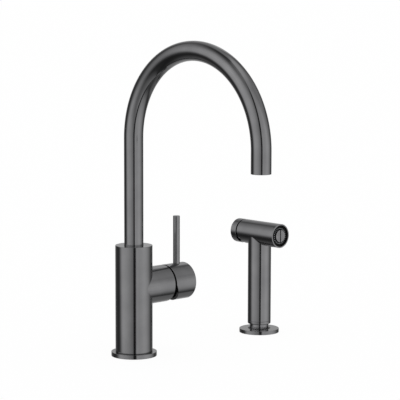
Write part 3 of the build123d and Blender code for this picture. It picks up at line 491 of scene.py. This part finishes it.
rod = turned("lever_rod_pin",
             [(0, rod_low.z), (rod_pin_radius, rod_low.z), (rod_pin_radius, rod_foot),
              (rod_radius, rod_foot), (rod_radius, rod_high.z), (0, rod_high.z)],
             rod_axis, steps=64)
break_edges(rod, rod_edge)
dress(rod, gunmetal_upright, "lever", ["lever_rod"])
coat_nodes(steel_upright, "lever_grub_screw")
coat_nodes(black_plastic, "grub_plug")

# ---------------------------------------------------------------------------------------------
# Side spray's deck ring.  A flatter turned ring with a black liner that guides the handset's
# neck, and a rubber seal in its underside.
# ---------------------------------------------------------------------------------------------
holder_thread_radius = 0.018
holder_thread_depth = 0.0034
liner_edge = 0.0003
liner_wall = 0.00225
liner_lip_bore = 0.011
holder_low, holder_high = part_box("spray_holder")
spray_axis = Vector(((holder_low.x + holder_high.x) / 2, 0, 0))
holder_radius = half_width("spray_holder")
holder_height = holder_high.z
liner_low, liner_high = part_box("holder_liner")
liner_radius = half_width("holder_liner")
holder_bore = liner_radius + seat_gap
holder_groove_outer = half_width("holder_seal") + seat_gap
holder_groove_inner = holder_groove_outer - groove_width

holder = turned("spray_ring",
                [(holder_thread_radius, 0), (holder_groove_inner, 0),
                 (holder_groove_inner, groove_depth), (holder_groove_outer, groove_depth),
                 (holder_groove_outer, 0), (holder_radius, 0), (holder_radius, holder_height),
                 (holder_bore, holder_height), (holder_bore, holder_thread_depth),
                 (holder_thread_radius, holder_thread_depth)], spray_axis)
break_edges(holder, flange_edge)
dress(holder, gunmetal_upright, "mixer", ["spray_holder"])

collar_low, collar_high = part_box("hose_collar")
liner_bore = liner_radius - liner_wall
liner_lip_top = collar_low.z - seat_gap
liner = turned("spray_ring_liner",
               [(liner_lip_bore, liner_low.z), (liner_radius, liner_low.z),
                (liner_radius, liner_high.z), (liner_bore, liner_high.z),
                (liner_bore, liner_lip_top), (liner_lip_bore, liner_lip_top)], spray_axis)
break_edges(liner, liner_edge)
dress(liner, black_plastic, "mixer", ["holder_liner"])
coat_nodes(rubber, "holder_seal")

# ---------------------------------------------------------------------------------------------
# Hose collar.  The handle's lower ring and the slim neck below it are one turned piece with the
# hose thread inside; it stands in the liner, and the handset turns on it over a snap ring.
# ---------------------------------------------------------------------------------------------
neck_radius = 0.013
collar_foot = 0.012
collar_top = 0.016
collar_round = 0.0012
collar_edge = 0.00015
round_steps = 5
spigot_radius = 0.0118
hose_bore = 0.007
hose_thread_radius = 0.0093
hose_thread_end = collar_low.z + 0.010
handle_radius = half_width("hose_collar")

foot_round = []
for step in range(round_steps + 1):
    turn = math.pi / 2 * step / round_steps
    foot_round.append((handle_radius - collar_round + collar_round * math.sin(turn),
                       collar_foot + collar_round - collar_round * math.cos(turn)))

collar = turned("hose_neck",
                [(hose_thread_radius, collar_low.z), (neck_radius, collar_low.z),
                 (neck_radius, collar_foot)] + foot_round +
                [(handle_radius, collar_top), (spigot_radius, collar_top),
                 (spigot_radius, collar_high.z), (hose_bore, collar_high.z),
                 (hose_bore, hose_thread_end), (hose_thread_radius, hose_thread_end)],
                spray_axis)
break_edges(collar, collar_edge, segments=2)
dress(collar, gunmetal_upright, "hose_end", ["hose_collar"])
coat_nodes(rubber, "collar_seal", "hose_washer")
coat_nodes(steel_upright, "collar_clip")
coat_nodes(grey_acetal, "check_valve")

# ---------------------------------------------------------------------------------------------
# Handset body.  An upright handle and a horizontal head, joined in a sharp line; the head's
# lower rear edge is cut at a slope to make room for the trigger.
# ---------------------------------------------------------------------------------------------
face_reach = 0.0011
face_bore = 0.0149
face_bore_depth = 0.008
head_edge = 0.0002
head_slope = math.radians(23)
handle_bore = 0.012
water_way_top = 0.110
water_chamber = 0.0126
valve_bore = 0.0144
valve_shoulder = 0.008
handset_low, handset_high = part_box("handset_body")
head_radius = half_width("trigger_cap")
head_height = mid_height("trigger_cap")
head_axis = Vector((spray_axis.x, 0, head_height))
head_front = handset_low.y
head_rear = handset_high.y
face_rim = head_front - face_reach
face_floor = head_front + face_bore_depth

handset = bar("handset_shell", handle_radius, handset_low.z, head_height, spray_axis, steps=144)
break_edges(handset, collar_edge, segments=2)
head = bar("head", head_radius, face_rim, head_rear, head_axis, REARWARD, steps=144)
break_edges(head, head_edge)
cut(handset, head, "UNION")
cut(handset, bar("water_way_tool", handle_bore, handset_low.z - overshoot, water_way_top,
                 spray_axis, steps=64))
cut(handset, turned("head_tool",
                    [(0, face_rim - overshoot), (face_bore, face_rim - overshoot),
                     (face_bore, face_floor), (water_chamber, face_floor),
                     (water_chamber, valve_shoulder), (valve_bore, valve_shoulder),
                     (valve_bore, head_rear + overshoot), (0, head_rear + overshoot)],
                    head_axis, REARWARD, steps=96))
cut(handset, block((spray_axis.x, head_rear, head_height - wedge_size / 2), wedge_sides,
                   [((0, head_rear, head_height),
                     (0, -math.cos(head_slope), math.sin(head_slope))),
                    ((0, 0, head_height - head_radius - overshoot), (0, 0, -1))]))
shade(handset)
dress(handset, gunmetal_upright, "handset", ["handset_body"])

# ---------------------------------------------------------------------------------------------
# Spray valve.  A plastic carrier plugs the head's rear, and its two ears hold the trigger's pin;
# the steel stem pushes a rubber washer off the seat against a coil spring.
# ---------------------------------------------------------------------------------------------
# The carrier behind the trigger's gap is painted near black for the shade in that gap.
coat_nodes(black_and_painted_shade, "valve_carrier")
coat_nodes(rubber, "carrier_seal", "valve_washer")
coat_nodes(grey_acetal, "valve_seat")
coat_nodes(steel_rearward, "valve_stem", "valve_spring")
coat_nodes(steel_sideways, "trigger_pin")

# ---------------------------------------------------------------------------------------------
# Trigger.  The head's rear end is a turned cap that rocks on the pin; its rim stands a little off
# the head, and its lower half is pressed to spray.
# ---------------------------------------------------------------------------------------------
trigger_gap = 0.0021
trigger_wall = 0.0032
trigger_end_wall = 0.003
lug_offset = 0.0076
lug_width = 0.0024
lug_half_height = 0.0028
boss_radius = 0.0016
boss_play = 0.0005
trigger_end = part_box("trigger_cap")[1].y
trigger_rim = head_rear + trigger_gap
trigger_inside = trigger_end - trigger_end_wall
trigger_bore = head_radius - trigger_wall
joint_depth = trigger_inside + overshoot
pin_low, pin_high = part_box("trigger_pin")
pin_y = (pin_low.y + pin_high.y) / 2
pin_radius = (pin_high.y - pin_low.y) / 2
pin_line = Vector((0, pin_y, head_height))

trigger = turned("trigger_shell",
                 [(0, trigger_inside), (trigger_bore, trigger_inside),
                  (trigger_bore, trigger_rim), (head_radius, trigger_rim),
                  (head_radius, trigger_end), (0, trigger_end)], head_axis, REARWARD, steps=144)
break_edges(trigger, edge_break)
for side in (-1, 1):
    place = spray_axis.x + side * lug_offset
    eye = bar("lug_eye", lug_half_height, place - lug_width / 2, place + lug_width / 2,
              pin_line, SIDEWAYS, steps=40)
    arm = block((place, (pin_y + joint_depth) / 2, head_height),
                (lug_width, joint_depth - pin_y, 2 * lug_half_height))
    cut(arm, eye, "UNION")
    cut(trigger, arm, "UNION")
cut(trigger, bar("boss", boss_radius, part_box("valve_stem")[1].y + boss_play, joint_depth,
                 Vector((spray_axis.x, 0, mid_height("valve_stem"))), REARWARD, steps=40),
    "UNION")
cut(trigger, bar("pin_hole", pin_radius + sliding_gap, pin_low.x - 2 * overshoot,
                 pin_high.x + 2 * overshoot, pin_line, SIDEWAYS, steps=40))
shade(trigger)
gunmetal_lengthwise = turned_gunmetal("gunmetal_turned_lengthwise", REARWARD)
dress(trigger, gunmetal_lengthwise, "trigger", ["trigger_cap"])

# ---------------------------------------------------------------------------------------------
# Spray face.  A black plate set into the head's front, a ring of soft tapered nozzles that poke
# through it, each with its hole, and a slotted light grey disc that holds both.
# ---------------------------------------------------------------------------------------------
plate_recess = 0.0022
lip_recess = 0.0008
lip_inner = 0.0084
lip_outer = 0.0090
disc_proud = 0.0002
disc_thickness = 0.003
disc_bevel = 0.0003
disc_screw_radius = 0.0029
disc_slot_width = 0.0018
disc_slot_depth = 0.0022
nozzle_recess = 0.0011
nozzle_count = 24
nozzle_circle = 0.0104
nozzle_shank = 0.0007
nozzle_tip = 0.0005
nozzle_hole = 0.0002
nozzle_hole_depth = 0.0012
nozzle_band_half = 0.0013
nozzle_band_height = 0.0012
plate_radius = half_width("face_plate")
plate_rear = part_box("face_plate")[1].y
plate_floor = face_rim + plate_recess
lip_front = face_rim + lip_recess
nozzle_front = face_rim + nozzle_recess
nozzle_hole_end = nozzle_front + nozzle_hole_depth
disc_radius = half_width("face_screw")
disc_front = face_rim - disc_proud
disc_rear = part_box("face_screw")[0].y + disc_thickness
disc_slot_length = 2.2 * disc_radius
disc_seat = disc_rear + seat_gap
screw_bore = disc_screw_radius + seat_gap


def ringed(piece, count):
    """A ring of copies of a piece round the head's axis, each with its own mesh, joined."""
    pick(piece)
    for step in range(1, count):
        copy = piece.copy()
        copy.data = piece.data.copy()
        bpy.context.scene.collection.objects.link(copy)
        copy.data.transform(Matrix.Translation(head_axis)
                            @ Matrix.Rotation(2 * math.pi * step / count, 4, "Y")
                            @ Matrix.Translation(-head_axis))
        copy.select_set(True)
    bpy.ops.object.join()
    return piece


plate = turned("face_plate_moulding",
               [(screw_bore, plate_rear), (plate_radius, plate_rear),
                (plate_radius, plate_floor), (lip_outer, plate_floor), (lip_outer, lip_front),
                (lip_inner, lip_front), (lip_inner, disc_seat), (screw_bore, disc_seat)],
               head_axis, REARWARD, steps=96)
nozzle_foot = head_axis + SIDEWAYS * nozzle_circle
hole = bar("nozzle_holes", nozzle_shank + seat_gap, plate_floor - overshoot,
           plate_rear + overshoot, nozzle_foot, REARWARD, steps=20)
cut(plate, ringed(hole, nozzle_count))
shade(plate)
# The face plate in its recess gets the same near black, partly painted shade.
dress(plate, black_and_painted_shade, "handset", ["face_plate"])

nozzle = turned("nozzles",
                [(0, nozzle_hole_end), (nozzle_hole, nozzle_hole_end),
                 (nozzle_hole, nozzle_front), (nozzle_tip, nozzle_front),
                 (nozzle_shank, plate_floor), (nozzle_shank, plate_rear + 2 * seat_gap),
                 (0, plate_rear + 2 * seat_gap)], nozzle_foot, REARWARD, steps=20)
nozzles = ringed(nozzle, nozzle_count)
cut(nozzles, turned("nozzle_band",
                    [(nozzle_circle - nozzle_band_half, plate_rear + seat_gap),
                     (nozzle_circle + nozzle_band_half, plate_rear + seat_gap),
                     (nozzle_circle + nozzle_band_half, plate_rear + nozzle_band_height),
                     (nozzle_circle - nozzle_band_half, plate_rear + nozzle_band_height)],
                    head_axis, REARWARD, steps=96), "UNION")
shade(nozzles)
light_silicone = moulded("light_silicone", (0.19, 0.20, 0.21), (0.25, 0.26, 0.27), (0.5, 0.65))
dress(nozzles, light_silicone, "handset", ["nozzle_ring"])


def paint_shade_by_depth(material, front):
    """Paints shade into a face with its depth behind a front plane: deeper in, its colour turns
    near black and its sheen goes, as a shaded slot looks.
    """
    shade_start, shade_end = front + 0.0001, front + 0.0004
    # Near black: the colour of the painted shade deep in the slot.
    painted_shade_colour = (0.004, 0.004, 0.004, 1)
    tree = material.node_tree
    surface = tree.nodes["Principled BSDF"]
    face_colour = surface.inputs["Base Color"].links[0].from_socket
    place = add_node(tree, "ShaderNodeTexCoord")
    parts = add_node(tree, "ShaderNodeSeparateXYZ")
    depth = add_node(tree, "ShaderNodeMapRange",
                     {"From Min": shade_start, "From Max": shade_end})
    shadow = add_node(tree, "ShaderNodeMix", {"B": painted_shade_colour}, data_type="RGBA")
    sheen = add_node(tree, "ShaderNodeMapRange", {"To Min": 0.5, "To Max": 0.05})
    tree.links.new(place.outputs["Object"], parts.inputs[0])
    tree.links.new(parts.outputs["Y"], depth.inputs["Value"])
    tree.links.new(depth.outputs["Result"], shadow.inputs["Factor"])
    tree.links.new(face_colour, shadow.inputs[6])
    tree.links.new(shadow.outputs[2], surface.inputs["Base Color"])
    tree.links.new(depth.outputs["Result"], sheen.inputs["Value"])
    tree.links.new(sheen.outputs["Result"], surface.inputs["Specular IOR Level"])


disc = turned("face_disc",
              [(0, disc_front), (disc_radius - disc_bevel, disc_front),
               (disc_radius, disc_front + disc_bevel), (disc_radius, disc_rear),
               (disc_screw_radius, disc_rear), (disc_screw_radius, plate_rear),
               (0, plate_rear)], head_axis, REARWARD, steps=96)
cut(disc, block((head_axis.x, disc_front, head_axis.z),
                (disc_slot_width, 2 * disc_slot_depth, disc_slot_length)))
shade(disc)
light_plastic = moulded("light_grey_plastic", (0.15, 0.15, 0.155), (0.20, 0.20, 0.205),
                        (0.3, 0.42))
# The disc's slot gets painted shade: darker and less glossy with its depth behind the disc's
# front.
paint_shade_by_depth(light_plastic, disc_front)
dress(disc, light_plastic, "handset", ["face_screw"])

# ---------------------------------------------------------------------------------------------
# Camera, world and floor.  The camera stands at the photograph's angle.  A white world gives the
# soft light, and the pale floor keeps the faucet's shadow and is near white to the camera.
# ---------------------------------------------------------------------------------------------
camera_azimuth = math.radians(-43.216)
camera_elevation = math.radians(7.346)
camera_roll = math.radians(0.127)
camera_distance = 2.414865
aim_sideways = 0.085814
aim_height = 0.204794
lens_mm = 167.8
sensor_mm = 36

to_right = Vector((math.cos(camera_azimuth), math.sin(camera_azimuth), 0))
to_camera = Vector((math.sin(camera_azimuth) * math.cos(camera_elevation),
                    -math.cos(camera_azimuth) * math.cos(camera_elevation),
                    math.sin(camera_elevation)))
aim = to_right * aim_sideways + UP * aim_height
camera_data = bpy.data.cameras.new("camera")
camera_data.lens = lens_mm
camera_data.sensor_width = sensor_mm
camera = bpy.data.objects.new("camera", camera_data)
bpy.context.scene.collection.objects.link(camera)
camera.matrix_world = (Matrix.Translation(aim + to_camera * camera_distance)
                       @ Matrix.Rotation(camera_azimuth, 4, "Z")
                       @ Matrix.Rotation(math.pi / 2 - camera_elevation, 4, "X")
                       @ Matrix.Rotation(camera_roll, 4, "Z"))
bpy.context.scene.camera = camera
bpy.context.scene.view_settings.view_transform = "Standard"


def seen_directly(tree):
    """1 for rays that come from the camera or by way of a mirror or glass."""
    path = add_node(tree, "ShaderNodeLightPath")
    total = path.outputs["Is Camera Ray"]
    for kind in ("Is Glossy Ray", "Is Transmission Ray"):
        add = add_node(tree, "ShaderNodeMath", operation="MAXIMUM")
        tree.links.new(total, add.inputs[0])
        tree.links.new(path.outputs[kind], add.inputs[1])
        total = add.outputs[0]
    return total


def bare_tree(owner):
    """The emptied node tree of a material or world."""
    owner.use_nodes = True
    owner.node_tree.nodes.clear()
    return owner.node_tree


def surface_mix(tree, share, first, second):
    """Shows the first shader of a material, and the second one by its share."""
    mix = add_node(tree, "ShaderNodeMixShader")
    tree.links.new(share, mix.inputs["Fac"])
    tree.links.new(first.outputs[0], mix.inputs[1])
    tree.links.new(second.outputs[0], mix.inputs[2])
    out = add_node(tree, "ShaderNodeOutputMaterial")
    tree.links.new(mix.outputs[0], out.inputs["Surface"])


white = (1, 1, 1, 1)
world = bpy.data.worlds.new("studio")
bpy.context.scene.world = world
world_tree = bare_tree(world)
soft_light = add_node(world_tree, "ShaderNodeBackground", {"Color": white, "Strength": 1.0})
world_out = add_node(world_tree, "ShaderNodeOutputWorld")
world_tree.links.new(soft_light.outputs[0], world_out.inputs["Surface"])

floor_size = 30
floor_height = -0.0003
floor_white_share = 0.95
bpy.ops.object.select_all(action="DESELECT")
bpy.ops.mesh.primitive_plane_add(size=floor_size, location=(0, 0, floor_height))
floor = bpy.context.object
floor.name = floor.data.name = "floor"
floor_material = bpy.data.materials.new("pale_floor")
floor_tree = bare_tree(floor_material)
floor_paint = add_node(floor_tree, "ShaderNodeBsdfDiffuse", {"Color": (0.92, 0.92, 0.92, 1)})
floor_glow = add_node(floor_tree, "ShaderNodeEmission", {"Color": white, "Strength": 1.0})
floor_share = add_node(floor_tree, "ShaderNodeMath", {1: floor_white_share},
                       operation="MULTIPLY")
floor_tree.links.new(seen_directly(floor_tree), floor_share.inputs[0])
surface_mix(floor_tree, floor_share.outputs[0], floor_paint, floor_glow)
floor.data.materials.append(floor_material)
floor.visible_glossy = False

# ---------------------------------------------------------------------------------------------
# Light dome.  A wide round tent, seen in the metal only: a soft box on either side, a fill, lights
# above and behind, and one black strip that draws the dark line along every upright tube.
# ---------------------------------------------------------------------------------------------
dome_radius = 12.0
left_tilt = 1.1
right_rise_tilt = 1.0
right_drop_tilt = 0.8
right_drop_start = math.radians(18)
low_back_tilt = -1.1


def mirrors_only(piece):
    """Leaves a stage piece for mirror rays only."""
    for kind in ("visible_camera", "visible_diffuse", "visible_shadow", "visible_transmission"):
        setattr(piece, kind, False)


bpy.ops.object.select_all(action="DESELECT")
bpy.ops.mesh.primitive_ico_sphere_add(subdivisions=5, radius=dome_radius, location=(0, 0, 0))
dome = bpy.context.object
dome.name = dome.data.name = "light_dome"
dome.matrix_world = (Matrix.Translation(aim)
                     @ Matrix.Rotation(camera_azimuth - math.pi / 2, 4, "Z"))
dome_cloth = bpy.data.materials.new("dome_cloth")
dome_tree = bare_tree(dome_cloth)


def dome_math(operation, *values):
    """One sum on the dome, of sockets or plain numbers."""
    sum_node = add_node(dome_tree, "ShaderNodeMath", operation=operation)
    for socket, value in zip(sum_node.inputs, values):
        if isinstance(value, (int, float)):
            socket.default_value = value
        else:
            dome_tree.links.new(value, socket)
    return sum_node.outputs[0]


def run_of(angle, stops):
    """Brightness along a run of (degrees, brightness) stops."""
    ranged = add_node(dome_tree, "ShaderNodeMapRange",
                      {"From Min": -math.pi, "From Max": math.pi})
    dome_tree.links.new(angle, ranged.inputs["Value"])
    ramp = add_node(dome_tree, "ShaderNodeValToRGB")
    dome_tree.links.new(ranged.outputs["Result"], ramp.inputs["Fac"])
    places = ramp.color_ramp.elements
    while len(places) < len(stops):
        places.new(0.5)
    for place, (degrees, brightness) in zip(places, stops):
        place.position = (degrees + 180) / 360
        place.color = (brightness, brightness, brightness, 1)
    return ramp.outputs["Color"]


def light(*runs):
    """One light of the dome: the runs that it has along its angles, multiplied."""
    brightness = run_of(*runs[0])
    for run in runs[1:]:
        brightness = dome_math("MULTIPLY", brightness, run_of(*run))
    return brightness


# The bearing runs from the camera round, positive to its right, and the height from the horizon
# up.  A slant is a bearing that shifts with the height, and leans a light's edge.
dome_place = add_node(dome_tree, "ShaderNodeTexCoord")
dome_parts = add_node(dome_tree, "ShaderNodeSeparateXYZ")
dome_tree.links.new(dome_place.outputs["Object"], dome_parts.inputs[0])
bearing = dome_math("ARCTAN2", dome_parts.outputs["Y"], dome_parts.outputs["X"])
height = dome_math("ARCSINE", dome_math("DIVIDE", dome_parts.outputs["Z"], dome_radius))
rise = dome_math("MAXIMUM", height, 0.0)
drop = dome_math("MAXIMUM", dome_math("SUBTRACT", -right_drop_start, height), 0.0)
left_slant = dome_math("MULTIPLY_ADD", height, left_tilt, bearing)
right_rise = dome_math("MULTIPLY_ADD", rise, right_rise_tilt, bearing)
right_drop = dome_math("MULTIPLY_ADD", drop, right_drop_tilt, bearing)
low_slant = dome_math("MULTIPLY_ADD", height, low_back_tilt, bearing)

left_box = light(
    (bearing, [(-180, 0.30), (-140, 0.45), (-110, 0.75), (-85, 1.12), (-65, 1.22), (-45, 1.10),
               (-30, 0.95), (-15, 0.72), (-2, 0.52), (6, 0.45), (9, 0.0)]),
    (height, [(-90, 0.08), (-60, 0.10), (-45, 0.18), (-30, 0.38), (-12, 0.86), (0, 0.93),
              (25, 1.0), (42, 0.85), (55, 0.50), (68, 0.18), (80, 0.10)]),
    (left_slant, [(-128, 0.08), (-108, 0.20), (-92, 0.85), (-85, 1.0)]))
left_fill = light(
    (bearing, [(-75, 0.0), (-65, 0.15), (-45, 0.32), (-25, 0.44), (-10, 0.47), (6, 0.45),
               (9, 0.0)]))
right_box = light(
    (right_drop, [(2, 0.0), (5, 0.80), (20, 0.95), (35, 0.93), (50, 1.0), (65, 1.10),
                  (80, 1.04), (90, 0.96), (102, 0.86), (108, 0.76), (114, 0.60), (121, 0.40),
                  (128, 0.21), (140, 0.10), (150, 0.0)]),
    (height, [(-80, 0.08), (-68, 0.20), (-55, 0.60), (-42, 0.85), (-25, 1.0), (12, 1.0),
              (30, 0.9), (60, 0.9)]),
    (right_rise, [(74, 1.0), (87, 0.97), (101, 0.79), (120, 0.66), (150, 0.55)]))
upper_right = light(
    (bearing, [(75, 0.0), (90, 0.66), (105, 0.62), (120, 0.55), (132, 0.46), (140, 0.33),
               (147, 0.18), (160, 0.0)]),
    (height, [(8, 0.0), (22, 0.8), (32, 1.0), (55, 1.0), (65, 0.8), (75, 0.5)]))
upper_back = light(
    (bearing, [(-180, 0.6), (-165, 0.45), (-150, 0.2), (-140, 0.0), (153, 0.0), (159, 0.30),
               (164, 0.70), (170, 0.88), (176, 0.78), (180, 0.6)]),
    (height, [(5, 0.0), (18, 0.7), (28, 1.0), (38, 1.0), (44, 0.6), (52, 0.25), (60, 0.0)]))
low_back = light(
    (bearing, [(-180, 0.33), (-150, 0.36), (-135, 0.27), (-120, 0.18), (-105, 0.09),
               (-95, 0.0), (85, 0.0), (95, 0.30), (120, 0.38), (135, 0.40), (155, 0.36),
               (170, 0.32), (180, 0.30)]),
    (height, [(-75, 0.5), (-60, 0.7), (-48, 1.0), (-30, 1.0), (-18, 0.6), (-5, 0.0)]),
    (low_slant, [(0, 1.0), (20, 0.0), (158, 0.0), (171, 1.0)]))
top_light = light(
    (bearing, [(-180, 0.35), (-165, 0.10), (-150, 0.0), (12, 0.0), (22, 1.0), (140, 1.0),
               (165, 0.6), (180, 0.35)]),
    (height, [(38, 0.0), (50, 0.55), (62, 0.85), (72, 1.0)]))
back_light = light(
    (bearing, [(-180, 0.60), (-160, 0.45), (-145, 0.18), (-125, 0.10), (-90, 0.05),
               (-60, 0.10), (-30, 0.20), (0, 0.22), (60, 0.15), (110, 0.12), (125, 0.10),
               (145, 0.17), (155, 0.26), (165, 0.42), (180, 0.60)]))
black_strip = dome_math("MAXIMUM",
                        run_of(bearing, [(-4, 1.0), (0.5, 0.05), (11.5, 0.05), (16, 1.0)]),
                        run_of(height, [(42, 0.0), (62, 0.8), (75, 1.0)]))

lights = left_box
for other in (right_box, top_light, low_back, upper_right, upper_back, left_fill, back_light):
    lights = dome_math("MAXIMUM", lights, other)
dome_glow = add_node(dome_tree, "ShaderNodeEmission")
dome_out = add_node(dome_tree, "ShaderNodeOutputMaterial")
dome_tree.links.new(dome_math("MULTIPLY", lights, black_strip), dome_glow.inputs["Color"])
dome_tree.links.new(dome_glow.outputs[0], dome_out.inputs["Surface"])
dome.data.materials.append(dome_cloth)
mirrors_only(dome)

# ---------------------------------------------------------------------------------------------
# Screen round the spray.  The photograph's spray mirrors the studio and itself, not the mixer:
# mirror rays that leave through this stage piece go on beyond the mixer, on the same course and
# round the dome's own axis.
# ---------------------------------------------------------------------------------------------
screen_radius = 0.07
screen_foot = -0.0002
screen_height = 0.20
screen_reach = 7.0
screen = bar("light_screen", screen_radius, screen_foot, screen_height, spray_axis, steps=48)
screen_gate = bpy.data.materials.new("screen_gate")
screen_tree = bare_tree(screen_gate)
geometry = add_node(screen_tree, "ShaderNodeNewGeometry")
from_axis = add_node(screen_tree, "ShaderNodeVectorMath", {1: spray_axis}, operation="SUBTRACT")
beyond = add_node(screen_tree, "ShaderNodeVectorMath",
                  {1: (screen_reach, screen_reach, 1), 2: (aim.x, aim.y, 0)},
                  operation="MULTIPLY_ADD")
open_side = add_node(screen_tree, "ShaderNodeBsdfTransparent")
gate = add_node(screen_tree, "ShaderNodeBsdfRayPortal")
screen_tree.links.new(geometry.outputs["Position"], from_axis.inputs[0])
screen_tree.links.new(from_axis.outputs["Vector"], beyond.inputs[0])
screen_tree.links.new(beyond.outputs["Vector"], gate.inputs["Position"])
surface_mix(screen_tree, geometry.outputs["Backfacing"], open_side, gate)
screen.data.materials.append(screen_gate)
mirrors_only(screen)
